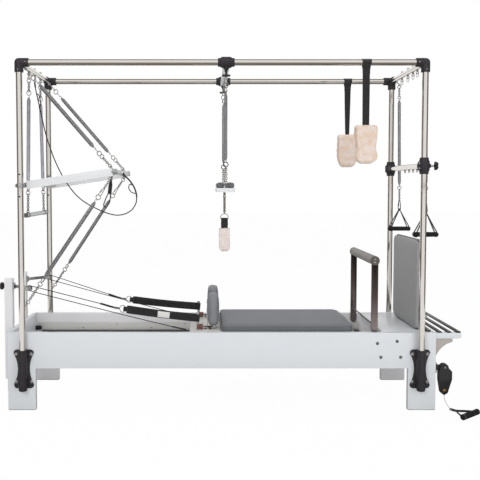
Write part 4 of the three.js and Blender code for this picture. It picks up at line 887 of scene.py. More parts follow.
for end_label, end in (("head", -1), ("foot", 1)):
    for label, side in sides:
        x = end * half_length
        y = side * half_depth
        node = f"post_{end_label}_{label}"
        piece(f"post_tube_{end_label}_{label}",
            [rod(tube_radius, at(x, y, post_bottom), at(x, y, post_top), 0.8, 48)], polished, node,
            sharp=20.0)
        if end > 0:
            continue
        collar = turned([(-12, 19), (-12, 24), (-11, 25), (11, 25), (12, 24), (12, 19), (-12, 19)],
            at(x, y, push_pivot), at(x, y, push_pivot + 1), 40)
        lug = block(x - 30, x - 22, y - 8, y + 8, push_pivot - 10, push_pivot + 10, 1.2)
        inward = at(0, -side, 0)
        pin = turned([(0, 7), (28, 7), (30, 6), (30, 0)], at(x, y, push_pivot) + inward * 19,
            at(x, y, push_pivot) + inward * 20, 20)
        piece(f"post_collar_{label}", [collar, lug, pin, *bolt(at(x - 30, y, push_pivot), at(-1, 0, 0), 4.5)],
            brushed, node)
        target = at(push_tube_x, side * push_spring_y, push_tube_z)
        post_centre = at(x, y, post_eye_z)
        run = (target - post_centre).normalized()
        piece(f"post_eye_{label}", eye_bolt(post_centre + run * 18.5, post_centre + run * 52), bolt_steel,
            node)
        holes = []
        for z in (push_pivot - 67, push_pivot + 67):
            for hand in (-1, 1):
                skin = at(x, y + hand * 18.6, z)
                holes.append(turned([(0, 5.2), (0.9, 5.2), (1.0, 0)], skin, skin + at(0, hand, 0), 18))
        piece(f"post_holes_{label}", holes, hole_black, node)

# Post sockets: black castings bolted to the side panels.
# Each is a waisted flange with a barrel that the post stands in, and four dome bolts.
socket_top = 380.0
socket_bottom = 128.0
socket_middle = 259.0
flange_half = 121.0


def lobed():
    """The flange's outline: broad at the bolts and waisted between them."""
    lobe = arc(41, -flange_half + 21, 21, -90, 40, 7)
    lower = lobe + swept(lobe[-1], (38, -flange_half * 0.42), (37, 0), 6)[1:]
    right = lower + [(u, -v) for u, v in reversed(lower)][1:]
    return right + [(-u, v) for u, v in reversed(right)]


for end_label, end in (("head", -1), ("foot", 1)):
    for label, side in sides:
        x = end * half_length
        y = side * half_depth
        low, high = sorted((side * 332.4, side * 338.6))
        flange = slab([(x + u, socket_middle + v) for u, v in lobed()], "Y", low, high)
        barrel = turned([(socket_bottom, 0), (socket_bottom, 22), (socket_bottom + 5, 26),
            (socket_top - 12, 26), (socket_top - 6, 28), (socket_top, 28), (socket_top, 19.3),
            (socket_top - 30, 19.3), (socket_top - 30, 0)], at(x, y, 0), at(x, y, 1), 40)
        low_rib, high_rib = sorted((side * 334, side * 350))
        ribs = [block(x - 34, x + 34, low_rib, high_rib, z - 7, z + 7, 3) for z in (176, 352)]
        web_low, web_high = sorted((side * 334, side * 356))
        ribs.append(block(x - 29, x + 29, web_low, web_high, 200, 330, 4))
        socket_name = f"post_socket_{end_label}_{label}"
        piece(f"socket_casting_{end_label}_{label}", [cast([flange, barrel, *ribs], 2.4, 3)], casting,
            socket_name, sharp=50)
        heads = []
        for u in (-46, 46):
            for z in (178, 351):
                heads += bolt(at(x + u, side * 338.4, z), at(0, side, 0), 7.5, 4.0)
        piece(f"socket_bolts_{end_label}_{label}", heads, bolt_steel, socket_name)

# Top rails and corner elbows: tubes along the canopy, joined to the posts by black elbows.
# Each elbow is a three-way casting with flared mouths and a set screw at each.
canopy_z = 2125.0

for label, side in sides:
    y = side * half_depth
    piece(f"top_rail_tube_{label}",
        [rod(tube_radius, at(-half_length + 30, y, canopy_z), at(half_length - 30, y, canopy_z), 0, 48)],
        polished, f"top_rail_{label}")
    for end_label, end in (("head", -1), ("foot", 1)):
        corner = at(end * half_length, y, canopy_z)
        arms = [ball(26.5, corner, 24)]
        screws = []
        for way in (at(-end, 0, 0), at(0, 0, -1), at(0, -side, 0)):
            arms.append(turned([(0, 0), (0, 26.6), (57, 26.6), (59, 24.6), (59, 0)], corner, corner + way,
                36))
            out = at(0, side, 0) if not way.y else at(end, 0, 0)
            screws.append(rod(3.4, corner + way * 44 + out * 23, corner + way * 44 + out * 27.6, 0.5, 6))
        piece(f"elbow_{end_label}_{label}", [cast(arms, 2.2, 3)], casting, f"top_rail_{label}", sharp=50)
        piece(f"elbow_screws_{end_label}_{label}", screws, bolt_steel, f"top_rail_{label}")

# Cross rails: tubes across both ends of the canopy, drilled for eye bolts.
# The springs, the roll-down bar and the safety cord hang from the rings below them.
roll_eye_y = 140.0
roll_pivot_z = 2068.0
hand_eye_x = 1250.0
hand_y = 278.0
hand_eye_z = 2088.0


def rail_eye(x, y, drop, lean=0.0, ring_radius=7.5):
    """An eye bolt down through a cross rail: a domed nut above, the stem and its ring below."""
    foot = at(x + lean, y, canopy_z - drop)
    run = (foot - at(x, y, canopy_z)).normalized()
    nut = turned([(19, 0), (19, 8), (22, 8), (22, 6.6), (27, 6), (29.5, 3.6), (30, 0)], at(x, y, canopy_z),
        at(x, y, canopy_z) - run, 20)
    return [nut, *eye_bolt(at(x, y, canopy_z) + run * 18.5, foot, 3.2, ring_radius, at(0, 1, 0))]


for end_label, end in (("head", -1), ("foot", 1)):
    piece(f"cross_tube_{end_label}", [cross_rod(tube_radius, end * half_length, 329.5, canopy_z, 0, 48)],
        polished, f"{end_label}_cross_rail")
head_eyes = []
foot_eyes = []
for label, side in sides:
    head_eyes += rail_eye(-half_length, side * roll_eye_y, canopy_z - roll_pivot_z)
    target = at(push_tube_x, side * push_spring_y, push_tube_z)
    rail_centre = at(-half_length, side * push_spring_y, canopy_z)
    run = (target - rail_centre).normalized()
    head_eyes += eye_bolt(rail_centre + run * 18.5, rail_centre + run * 35, ring_radius=6.5,
        across=at(0, 1, 0))
    lean_run = (at(hand_eye_x, side * hand_y, hand_eye_z) - at(half_length, side * hand_y,
        canopy_z)).normalized()
    foot_eyes += eye_bolt(at(half_length, side * hand_y, canopy_z) + lean_run * 18.5,
        at(hand_eye_x, side * hand_y, hand_eye_z), ring_radius=6.5, across=at(0, 1, 0))
head_eyes += rail_eye(-half_length, 0, 52, ring_radius=6.5)
for y in (-164, 133):
    head_eyes += rail_eye(-half_length, y + 22, 34)
for y in (114, -17, -121, -208):
    foot_eyes += rail_eye(half_length, y, 34)
    low = at(half_length, y, canopy_z - 34 - 7)
    foot_eyes += [ring(low - at(0, 0, 10), 12, 1.8, at(1, 0.3, 0))]
piece("head_rail_eyes", head_eyes, bolt_steel, "head_cross_rail")
piece("foot_rail_eyes", foot_eyes, bolt_steel, "foot_cross_rail")

# Risers: two white uprights bolted to the head board, slotted so that the pulleys can be set
# higher or lower. The slot is milled right through, and its sides look grey.
riser_y = 157.0
riser_face = -1332.3
riser_depth = 50.0
sheave_x = -1203.0
sheave_y = 252.0
sheave_z = 746.0

for label, side in sides:
    y = side * riser_y
    whole = rectangle(y - 20, y + 20, 150, 796, 3, top_radius=8)
    riser = slab(whole, "X", riser_face - riser_depth, riser_face)
    ends_of_slot = []
    for x in (riser_face - riser_depth, riser_face):
        ends_of_slot.append([riser.verts.new((x, y + u, v)) for u, v in arc(0, 508.8, 8.8, 180, 360, 8)
            + arc(0, 756.2, 8.8, 0, 180, 8)])
    for ring_verts, outer_x in zip(ends_of_slot, (riser_face - riser_depth, riser_face)):
        cap = next(face for face in riser.faces
            if all(abs(vert.co.x - outer_x) < 0.01 for vert in face.verts))
        cap_edges = list(cap.edges)
        bmesh.ops.delete(riser, geom=[cap], context="FACES_ONLY")
        hole_edges = [riser.edges.new((a, b)) for a, b in zip(ring_verts, ring_verts[1:] + ring_verts[:1])]
        bmesh.ops.triangle_fill(riser, use_beauty=True, edges=cap_edges + hole_edges)
    inner_edges = [edge for edge in riser.edges if edge.is_boundary]
    bmesh.ops.bridge_loops(riser, edges=inner_edges)
    bmesh.ops.recalc_face_normals(riser, faces=riser.faces)
    # The uprights take the copy of the lacquer with painted light.
    piece(f"riser_upright_{label}", [soften(riser, 1.2, 2, 1.2)], riser_lacquer, f"riser_{label}")
    heads = []
    for z in (200, 300, 420):
        heads += bolt(at(riser_face - riser_depth, y, z), at(-1, 0, 0), 6.0)
    piece(f"riser_bolts_{label}", heads, bolt_steel, f"riser_{label}")

# Rope pulleys: a threaded shaft through the riser, a flange, an arm turned outwards,
# and a fork with the sheave on its axle. The arm is a silver casting and the sheave black nylon.
nylon = plain("black_nylon", "black_casting", {"Coat Weight": 0.15}, (22, 22, 24), (33, 32, 34), 120.0,
    rough=(200.0, 0.2, 0.35), grain=(900.0, 2.0, 0.0002, 0.3))

for label, side in sides:
    y = side * riser_y
    fork_y = side * sheave_y
    back = sheave_x - 24
    shaft = rod(8, at(riser_face - riser_depth - 3, y, sheave_z), at(riser_face + 12, y, sheave_z), 1.0, 24)
    flange = soften(slab(rectangle(y - 20, y + 20, sheave_z - 20, sheave_z + 20, 5), "X", riser_face + 0.4,
        riser_face + 11), 1.5)
    arm_start = at(riser_face + 7, y, sheave_z)
    arm_end = at(back, fork_y, sheave_z)
    reach = arm_end - arm_start
    arm = block(0, reach.length, -5, 5, -10, 10, 3.0)
    bmesh.ops.transform(arm, verts=arm.verts,
        matrix=Matrix.Translation(arm_start) @ Matrix.Rotation(math.atan2(reach.y, reach.x), 4, "Z"))
    bridge = block(back - 5, back + 3, fork_y - 11, fork_y + 11, sheave_z - 15, sheave_z + 15, 2.0)
    cheeks = []
    for hand in (-1, 1):
        low, high = sorted((fork_y + hand * 8, fork_y + hand * 11))
        cheek = rounded((back, sheave_z - 15, 0), (sheave_x + 15, sheave_z - 15, 14),
            (sheave_x + 15, sheave_z + 15, 14), (back, sheave_z + 15, 0))
        cheeks.append(slab(cheek, "Y", low, high, 0.7))
        skin = at(sheave_x, fork_y + hand * 10.8, sheave_z)
        cheeks += [turned([(0, 6), (1.6, 6), (2.6, 4.6), (2.6, 0)], skin, skin + at(0, hand, 0), 20)]
    axle = rod(4, at(sheave_x, fork_y - 9, sheave_z), at(sheave_x, fork_y + 9, sheave_z), 0, 16)
    piece(f"pulley_casting_{label}", [shaft, flange, arm, bridge, *cheeks, axle], brushed,
        f"pulley_arm_{label}", f"pulley_{label}")
    centre = at(sheave_x, fork_y, sheave_z)
    groove = [(-6.4, 4.7), (-6.4, 17), (-5.6, 18), (-4.6, 17.6), (-3.2, 13.4), (0, 12.2), (3.2, 13.4),
        (4.6, 17.6), (5.6, 18), (6.4, 17), (6.4, 4.7), (-6.4, 4.7)]
    wheel = turned(groove, centre, centre + at(0, 1, 0), 36)
    spokes = []
    for place in range(5):
        turn = math.tau * place / 5
        middle = centre + at(9.2 * math.cos(turn), 0, 9.2 * math.sin(turn))
        spokes.append(rod(1.7, middle - at(0, 6.7, 0), middle + at(0, 6.7, 0), 0.4, 10))
    piece(f"sheave_wheel_{label}", [wheel, *spokes], nylon, f"sheave_{label}", f"wheel_{label}")

# Riser knob: a black clamp knob with a ribbed rim, on the near pulley's shaft.
knob_face = riser_face - riser_depth - 0.3
knob_centre = at(knob_face, -riser_y, sheave_z)
knob_profile = [(3.6, 8.7), (0.2, 12), (11, 12), (12, 21), (14, 23.2), (27, 23.2), (29, 21.5), (29.9, 17),
    (30, 0)]
knob_shapes = [turned(knob_profile, knob_centre, knob_centre - at(1, 0, 0), 40)]
for place in range(20):
    turn = math.tau * place / 20
    rib = knob_centre + at(0, 22.3 * math.cos(turn), 22.3 * math.sin(turn))
    knob_shapes.append(rod(1.7, rib - at(14, 0, 0), rib - at(27.5, 0, 0), 0.6, 8))
piece("riser_clamp_knob", knob_shapes, nylon, "riser_knob", "pulley_knob")

# Carriage: a dark-edged board on two aluminium skirts, with four wheels on the tracks.
# It carries the shoulder rests' stems, two strap pegs and an eye for each rope.
carriage_head = -200.0
carriage_foot = 830.0
pad_head = -10.0
plate_top = 476.0
peg_x = -150.0
peg_y = 200.0
rest_x = -51.0
rest_y = 161.0

carriage_board = Finish("carriage_board", "carriage_board", {"Coat Weight": 0.1})
board_grain = carriage_board.cloud(9.0, 6.0, carriage_board.stretched(0.4, 5.0, 5.0))
carriage_board.feed("Base Color", carriage_board.tint(board_grain, paint(190, 189, 184),
    paint(210, 209, 205)))
carriage_board.feed("Roughness", board_grain * 0.2 + 0.4)
carriage_board.raise_by(board_grain, 0.0003, 0.3)

carriage_outline = rounded((carriage_head, -270, 14), (carriage_foot, -270, 6), (carriage_foot, 270, 6),
    (carriage_head, 270, 14))
piece("carriage_plate", [soften(slab(carriage_outline, "Z", plate_top - 12, plate_top), 1.5)], carriage_board,
    "carriage_frame", "carriage")
skirts = []
wheels = []
hubs = []
for label, side in sides:
    low, high = sorted((side * 250, side * 270))
    skirts.append(block(pad_head, carriage_foot, low, high, 380, plate_top - 11, 1.5))
    for x in (60, 760):
        centre = at(x, side * 269.5, 387.3)
        wheels.append(turned([(0, 5), (0, 23), (1.5, 25), (12.5, 25), (14, 23), (14, 15), (11, 14), (11, 5)],
            centre, centre + at(0, side, 0), 36))
        hubs += [turned([(-0.5, 0), (-0.5, 12), (11.5, 12), (12.5, 8), (13.4, 8), (13.8, 5), (13.8, 0)],
            centre, centre + at(0, side, 0), 24)]
pieces("carriage_frame", "carriage", ("carriage_skirts", skirts, brushed), ("carriage_wheels", wheels, nylon),
    ("wheel_hubs", hubs, bolt_steel))
fittings = []
for label, side in sides:
    root = at(peg_x, side * peg_y, plate_top - 1)
    fittings.append(turned([(0, 15), (3, 15), (5, 12), (6, 8), (96, 8), (98, 9.6), (107, 9.6), (110, 7),
        (110, 0)], root, root + at(0, 0, 1), 28))
    fittings.append(block(rest_x - 16, rest_x + 16, side * rest_y - 25, side * rest_y + 25, plate_top - 1,
        497.6, 1.5))
    for shift in (-17, 17):
        fittings += bolt(at(rest_x - 30, side * rest_y + shift, plate_top), at(0, 0, 1), 4.6, 2.4)
    fittings.append(block(rest_x - 44, rest_x - 12, side * rest_y - 25, side * rest_y + 25, plate_top - 0.5,
        plate_top + 3, 1.0))
    eye_root = at(carriage_head + 6, side * 215, 470)
    eye_run = (at(sheave_x, side * sheave_y, sheave_z) - at(carriage_head, side * 215, 470)).normalized()
    fittings.append(rod(4.6, eye_root, eye_root + eye_run * 12, 0.8, 18))
    fittings.append(ring(eye_root + eye_run * 19, 8, 2.6, at(0, 0, 1)))
piece("carriage_fittings", fittings, bolt_steel, "carriage_frame", "carriage")

red_brown = plain("red_brown_block", "carriage_board", {"Coat Weight": 0.1, "Roughness": 0.5}, (74, 42, 36),
    (142, 100, 86), 60.0, grain=(300.0, 3.0, 0.0003, 0.3))
anchor_blocks = []
anchor_latches = []
for label, side in sides:
    y = side * peg_y
    anchor_blocks.append(block(peg_x - 6, peg_x + 34, y - side * 4 - 15, y - side * 4 + 15, plate_top + 0.3,
        508, 3.0))
    anchor_latches.append(block(peg_x + 36, rest_x - 4, y - side * 12 - 3, y - side * 12 + 3, plate_top + 12,
        plate_top + 19, 2.0))
    for x in (peg_x + 48, peg_x + 78):
        anchor_latches += bolt(at(x, y - side * 4, plate_top), at(0, 0, 1), 6.0, 9.0)
pieces("carriage_frame", "carriage", ("anchor_blocks", anchor_blocks, red_brown),
    ("anchor_latches", anchor_latches, casting))

# Foam pads: firm foam, covered in grey vinyl that is drawn over the edges and stapled below.
# The vinyl swells a little between its seams, so each pad is blown up in a short cloth run.
pad_foot = carriage_foot
pad_low = 476.3
pad_high = 520.3


def vinyl(name, slot, dark, light):
    finish = Finish(name, slot, {"Coat Weight": 0.06, "Coat Roughness": 0.4, "Specular IOR Level": 0.4})
    leather = finish.cells(620.0)
    pores = finish.cloud(1500.0, 2.0)
    finish.feed("Base Color", finish.tint(finish.cloud(4.0) * 0.6 + leather * 0.35, paint(*dark),
        paint(*light)))
    finish.feed("Roughness", leather * 0.2 + 0.46)
    finish.raise_by(leather * 0.7 + pores * 0.3, 0.0004, 0.45)
    return finish


def blown_up(shape, cap, held, voxel=6.0, rounds=1):
    """Foam under its cover: the shape swells in a short cloth run, by cap at most, where it isn't held."""
    mesh = bpy.data.meshes.new("cover")
    bmesh.ops.scale(shape, vec=(0.001, 0.001, 0.001), verts=shape.verts)
    shape.to_mesh(mesh)
    shape.free()
    cover = bpy.data.objects.new("cover", mesh)
    bpy.context.scene.collection.objects.link(cover)
    fill = cover.modifiers.new("fill", "REMESH")
    fill.mode = "VOXEL"
    fill.voxel_size = voxel / 1000
    depsgraph = bpy.context.evaluated_depsgraph_get()
    cover.data = bpy.data.meshes.new_from_object(cover.evaluated_get(depsgraph))
    cover.modifiers.clear()
    start = [vert.co.copy() for vert in cover.data.vertices]
    group = cover.vertex_groups.new(name="held")
    group.add([place for place, point in enumerate(start) if held(point * 1000)], 1.0, "ADD")
    cloth = cover.modifiers.new("cloth", "CLOTH")
    cloth.settings.vertex_group_mass = "held"
    cloth.settings.use_pressure = True
    cloth.settings.uniform_pressure_force = 4.0
    cloth.settings.effector_weights.gravity = 0.0
    cloth.settings.quality = 4
    cloth.point_cache.frame_start = 1
    cloth.point_cache.frame_end = 20
    for frame_number in range(1, 21):
        bpy.context.scene.frame_set(frame_number)
    depsgraph = bpy.context.evaluated_depsgraph_get()
    swollen = bpy.data.meshes.new_from_object(cover.evaluated_get(depsgraph))
    for vert, first in zip(swollen.vertices, start):
        move = vert.co - first
        if move.length > cap / 1000:
            vert.co = first + move.normalized() * cap / 1000
    cover.modifiers.clear()
    cover.data = swollen
    bpy.context.scene.frame_set(1)
    soft = bmesh.new()
    soft.from_mesh(cover.data)
    bpy.data.objects.remove(cover)
    for _ in range(4):
        bmesh.ops.smooth_vert(soft, verts=soft.verts, factor=0.5, use_axis_x=True, use_axis_y=True,
            use_axis_z=True)
    for _ in range(rounds):
        bmesh.ops.subdivide_edges(soft, edges=soft.edges, cuts=1, use_grid_fill=True, smooth=0.8)
    bmesh.ops.scale(soft, vec=(1000, 1000, 1000), verts=soft.verts)
    return soft


def welt(outline, axis, level, inset=0.0, wire=1.3):
    """The cover's seam: a thin raised line that follows a pad's outline."""
    middle = sum((Vector(point) for point in outline), Vector((0, 0))) / len(outline)
    places = []
    for u, v in outline:
        pull = (Vector((u, v)) - middle).normalized() * inset
        u, v = u - pull.x, v - pull.y
        places.append({"X": at(level, u, v), "Y": at(u, level, v), "Z": at(u, v, level)}[axis])
    return bent(places, wire, closed=True, roundness=1)


grey_vinyl = vinyl("grey_vinyl", "grey_vinyl", (104, 106, 111), (118, 120, 125))
board_vinyl = vinyl("board_vinyl", "board_vinyl", (140, 140, 141), (155, 155, 155))

pad_outline = rectangle(pad_head + 4, pad_foot - 4, -278, 278, 40, steps=8)
pad_shape = soften(slab(pad_outline, "Z", pad_low, pad_high - 4), 8, 4, 1.0)
pad = piece("carriage_cushion", [blown_up(pad_shape, 4.0, lambda point: point.z < pad_low + 6, rounds=0)],
    grey_vinyl, "carriage_pad", "carriage", sharp=60)
pad_seam = rectangle(pad_head + 0.6, pad_foot - 0.6, -281.6, 281.6, 42, steps=8)
piece("cushion_seam", [welt(pad_seam, "Z", pad_low + 30, 1.2), welt(pad_seam, "Z", pad_low + 4, 2.0)],
    grey_vinyl, "carriage_pad", "carriage")

# Shoulder rests: two upright foam blocks in the same vinyl, on brackets at the head of the pad.
# Each has a seam round both faces, two eyelets and a bracket plate behind it.
rest_low = 498.0
rest_high = 704.0
rest_vinyl = vinyl("rest_vinyl", "grey_vinyl", (120, 122, 126), (135, 137, 141))
bracket_steel = plain("bracket_steel", "clamp_aluminium", {"Metallic": 0.85}, (178, 162, 160),
    (204, 192, 190), 40.0, rough=(200.0, 0.15, 0.3))
for label, side in sides:
    y = side * rest_y
    outline = rectangle(y - 57, y + 57, rest_low, rest_high - 3, 28, steps=7)
    shape = soften(slab(outline, "X", rest_x - 33, rest_x + 33), 25, 6, 1.0, limited=False)
    rest = piece(f"shoulder_cushion_{label}",
        [blown_up(shape, 5.0, lambda point: point.z < rest_low + 6, 5.0)], rest_vinyl,
        f"shoulder_rest_{label}", "carriage", sharp=60)
    seam = rectangle(y - 51, y + 51, rest_low + 9, rest_high - 8, 24, steps=7)
    piece(f"rest_seams_{label}",
        [welt(seam, "X", rest_x - 29, 0.6, 1.0), welt(seam, "X", rest_x + 29, 0.6, 1.0)], rest_vinyl,
        f"shoulder_rest_{label}", "carriage")
    bracket = rectangle(y - 30, y + 30, plate_top + 4, 606, 3, top_radius=26, steps=6)
    bracket_shapes = [slab(bracket, "X", rest_x - 41, rest_x - 35.6, 1.0),
        block(rest_x - 44, rest_x - 10, y - 30, y + 30, plate_top + 3.4, plate_top + 7, 1.0)]
    for z in (540, 585):
        bracket_shapes += bolt(at(rest_x - 41, y, z), at(-1, 0, 0), 4.4, 2.4)
    piece(f"rest_bracket_{label}", bracket_shapes, bracket_steel, f"shoulder_rest_{label}", "carriage")

# Footbar: two flat steel uprights on pins in the side panels, a thin tie rod and a padded grip.
# The uprights are dark polished steel with painted light on them, lighter at the pivot and darker towards the
# grip, and dark brown discs with two bolts close the grip.
footbar_steel = Finish("polished_steel_painted_light", "footbar_steel", {"Metallic": 0.95})
footbar_grain = footbar_steel.cloud(30.0, 4.0, footbar_steel.stretched(4.0, 4.0, 0.4))
# The colour follows height: painted light, lighter at the pivot and darker towards the grip.
painted_light_by_height = footbar_steel.part(footbar_steel.place, "Z") + footbar_grain * 0.04
footbar_steel.feed("Base Color", footbar_steel.ramp(painted_light_by_height, (0.46, paint(150, 140, 138)),
    (0.6, paint(118, 106, 105)), (0.72, paint(78, 68, 66)), (0.9, paint(56, 50, 48))))
footbar_steel.feed("Roughness", footbar_grain * 0.15 + 0.2)
footbar_steel.raise_by(footbar_grain, 0.0001, 0.3)

grip_z = 923.0
upright_shapes = []
disc_shapes = []
disc_bolts = []
for label, side in sides:
    low, high = sorted((side * 284, side * 294))
    shape = [*arc(footbar_x, footbar_pivot, 20.8, 180, 360, 12), *arc(footbar_x, grip_z, 20.8, 0, 180, 12)]
    upright_shapes.append(slab(shape, "Y", low, high, 1.2, 2, 0.9))
    skin = side * 284
    root = at(footbar_x, skin, grip_z)
    disc_shapes.append(turned([(0, 0), (0, 28), (1.2, 28.9), (10.6, 28.9), (11.8, 27.6), (11.8, 0)], root,
        root + at(0, side, 0), 40))
    for shift in (-10, 10):
        disc_bolts += bolt(at(footbar_x, side * 295.6, grip_z + shift), at(0, side, 0), 4.2, 2.0)
upright_shapes.append(cross_rod(15, footbar_x, 284, grip_z, 0, 28))
piece("footbar_uprights", upright_shapes, footbar_steel, "footbar_frame", "footbar")
disc_brown = plain("dark_brown_cap", "footbar_steel", {"Specular IOR Level": 0.4}, (74, 70, 67), (94, 89, 86),
    60.0, rough=(160.0, 0.2, 0.35))
pieces("footbar_frame", "footbar", ("footbar_end_discs", disc_shapes, disc_brown),
    ("footbar_end_bolts", disc_bolts, bolt_steel))
tie_x = footbar_x - 14
piece("footbar_tie_rod", [cross_rod(4, tie_x, 284, 530, 0.5, 16)], casting, "footbar_frame", "footbar")
foam = plain("grip_foam", "foam_grip", {"Specular IOR Level": 0.25}, (138, 135, 133), (154, 151, 149), 25.0)
foam_pores = foam.cells(1100.0)
foam.feed("Roughness", foam_pores * 0.2 + 0.7)
foam.raise_by(foam_pores, 0.0005, 0.5)
grip_root = at(footbar_x, -283.5, grip_z)
grip_profile = [(0, 15.4), (0, 26.5), (2.5, 28.7), (140, 29.0), (283, 28.8), (427, 29.0), (564, 28.7),
    (567, 26.5), (567, 15.4)]
grip = piece("footbar_foam", [turned(grip_profile, grip_root, grip_root + at(0, 1, 0), 48)], foam,
    "footbar_grip", "footbar")
piece("foam_seam", [cross_rod(0.8, footbar_x + 20.6, 280, grip_z - 20.6, 0, 8)], foam, "footbar_grip",
    "footbar")

# Jump board: a padded board that stands on the deck between the foot posts.
# Its cushion is crowned towards the carriage, and a darker board backs it.
board_low = 480.3
board_high = 1051.0
board_outline = rectangle(-258, 258, board_low, board_high - 4, 40, steps=8)
board_shape = soften(slab(board_outline, "X", 1215, 1240), 7, 4, 1.0)
jump = piece("jump_cushion", [blown_up(board_shape, 3.0, lambda point: point.x > 1234, rounds=0)],
    board_vinyl, "jump_board", "board", sharp=60)
board_back = rectangle(-260, 260, board_low, board_high - 1, 40, steps=8)
pieces("jump_board", "board", ("jump_board_back", [soften(slab(board_back, "X", 1239, 1249.6), 2.0)],
    board_vinyl), ("jump_board_seam", [welt(board_back, "X", 1238, -0.2)], board_vinyl))

# Push-through bar: two flat white steel arms, hinged on the head posts' pins, and a tube across.
# The tube carries an eye bolt for each spring, and a webbing loop with the safety cord's ring.
arm_y = 326.0
arm_turn = Matrix.Translation(at(-half_length, 0, push_pivot)) @ Matrix.Rotation(-push_angle, 4, "Y")
push_tube = at(push_tube_x, 0, push_tube_z)

white_bar = plain("white_powder_coat", "white_bar", {"Coat Weight": 0.15, "Coat Roughness": 0.2},
    (216, 217, 219), (224, 225, 227), 6.0, rough=(80.0, 0.12, 0.36))
white_bar.raise_by(white_bar.cells(500.0), 0.0002, 0.1)

webbing = Finish("black_webbing", "black_webbing", {"Sheen Weight": 0.25, "Sheen Roughness": 0.5})
web_x = webbing.part(webbing.place, "X") * 2100.0
web_y = webbing.part(webbing.place, "Y") * 2100.0
web_z = webbing.part(webbing.place, "Z") * 2100.0
web_weave = webbing.sine(web_x + web_z) * webbing.sine(web_y - web_z)
webbing.feed("Base Color", webbing.tint(web_weave * 0.5 + 0.5, paint(18, 18, 20), paint(44, 43, 45)))
webbing.feed("Roughness", webbing.cloud(60.0) * 0.15 + 0.72)
webbing.raise_by(web_weave, 0.0005, 0.7)


def band(points, across, thickness, closed=False, shares=None):
    """Flat webbing along points: across is half its width, as a direction, and shares narrow it."""
    shape = bmesh.new()
    rows = [(shape.verts.new(point - across * share), shape.verts.new(point + across * share)) for point,
        share in zip(points, shares or [1.0] * len(points))]
    pairs = list(zip(rows, rows[1:])) + ([(rows[-1], rows[0])] if closed else [])
    for first, second in pairs:
        shape.faces.new((first[0], second[0], second[1], first[1]))
    bmesh.ops.recalc_face_normals(shape, faces=shape.faces)
    bmesh.ops.solidify(shape, geom=list(shape.faces), thickness=thickness)
    bmesh.ops.recalc_face_normals(shape, faces=shape.faces)
    return shape


arm_shapes = []
arm_bolts = []
hinge_plates = []
for label, side in sides:
    low, high = sorted((side * (arm_y - 6), side * (arm_y + 6)))
    outline = rounded((28, -24, 3), (push_length - 12, -24, 6), (push_length - 12, 24, 6), (28, 24, 3))
    arm = slab(outline, "Y", low, high, 1.4, 2, 0.9)
    tongue = slab([*arc(0, 0, 15, 90, 270, 12), (60, -15), (60, 15)], "Y", side * (arm_y - 9) - 2.5,
        side * (arm_y - 9) + 2.5, 0.8)
    tube_end = rod(16, at(push_length, side * (arm_y + 5), 0), at(push_length, side * (arm_y + 12), 0), 2.0,
        36)
    rail_cap = slab(rounded((push_length - 14, -18, 3), (push_length + 19, -18, 8), (push_length + 19, 18, 8),
        (push_length - 14, 18, 3)), "Y", low, high, 1.4, 2, 0.9)
    for shape in (arm, tongue, tube_end, rail_cap):
        bmesh.ops.transform(shape, matrix=arm_turn, verts=shape.verts)
    arm_shapes.append(arm)
    hinge_plates += [tongue, tube_end, rail_cap]
    for u in (42, 0):
        skin = arm_turn @ at(u, side * (arm_y - 11.3), 0)
        arm_bolts += bolt(skin, at(0, -side, 0), 8.0, 4.0)
pieces("push_bar", "push_through_bar", ("push_arms", arm_shapes, white_bar),
    ("push_hinge_plates", hinge_plates, brushed))
push_rail = rod(16, arm_turn @ at(push_length, -320.5, 0), arm_turn @ at(push_length, 320.5, 0), 0, 36)
piece("push_rail", [push_rail], brushed, "push_bar", "push_through_bar")
for label, side in sides:
    centre = at(push_tube_x, side * push_spring_y, push_tube_z)
    for target in (at(-half_length, side * push_spring_y, canopy_z),
        at(-half_length, side * half_depth, post_eye_z)):
        run = (target - centre).normalized()
        arm_bolts += eye_bolt(centre + run * 15, centre + run * 39.5, ring_radius=6.5, across=at(0, 1, 0))
cord_eye = at(-631, 0, 1447)
arm_bolts += [ring(cord_eye + at(-7, 0, 7), 9, 2.2, at(0, 1, 0))]
piece("push_fittings", arm_bolts, bolt_steel, "push_bar", "push_through_bar")
wrap = [push_tube + at(17.8 * math.cos(turn), 0, 17.8 * math.sin(turn))
    for turn in (math.radians(step) for step in range(-20, -291, -18))]
tail = [cord_eye + at(-3, 0, 2)]
piece("cord_webbing", [band(tail + wrap + [cord_eye + at(-6, 0, -1)], at(0, 16, 0), 2.4),
    ball(7.0, at(-631.5, 0, 1448.5), 14)], webbing, "push_bar", "push_through_bar")
sleeve_line = safety_line[-19:]
side_loop = smooth_route([sleeve_line[3], sleeve_line[3] + at(-26, 0, 4), sleeve_line[7] + at(-38, 0, 0),
    sleeve_line[9] + at(-22, 0, 10), sleeve_line[9]], 4)
top_loop = smooth_route([(-1209, 0, 1990), (-1194, 0, 1978), (-1185, 0, 1945), (-1184, 0, 1915),
    (-1193, 0, 1896)], 4)
piece("cord_sleeve", [bent(sleeve_line, 5.2), bent(side_loop, 3.2), bent(top_loop, 3.4),
    bent(safety_line[0:5], 5.4), bent(safety_line[18:23], 5.4)], webbing, "push_bar",
    between=("frame", "push_through_bar", safety_route[0], safety_route[-1]))
spare_top = at(push_tube_x - 22, -282, push_tube_z - 12)
spare_line = [spare_top, spare_top + at(-6, 0, -40), spare_top + at(-10, 0, -72),
    spare_top + at(-16, 0, -124)]
spare_neck = spare_line[-1] + at(0, 0, 4)
spare_loop = smooth_route([spare_neck + at(6, 0, 0), spare_neck + at(2, 0, -44), spare_neck + at(-22, 0, -84),
    spare_neck + at(-36, 0, -78), spare_neck + at(-26, 0, -40), spare_neck + at(-7, 0, 0)], 4)
piece("spare_strap", [band(spare_line, at(12, 0, 0), 4.0, shares=[0.3, 0.5, 1.0, 1.0]),
    bent(spare_loop, 3.4)], webbing, "push_bar", "push_through_bar")

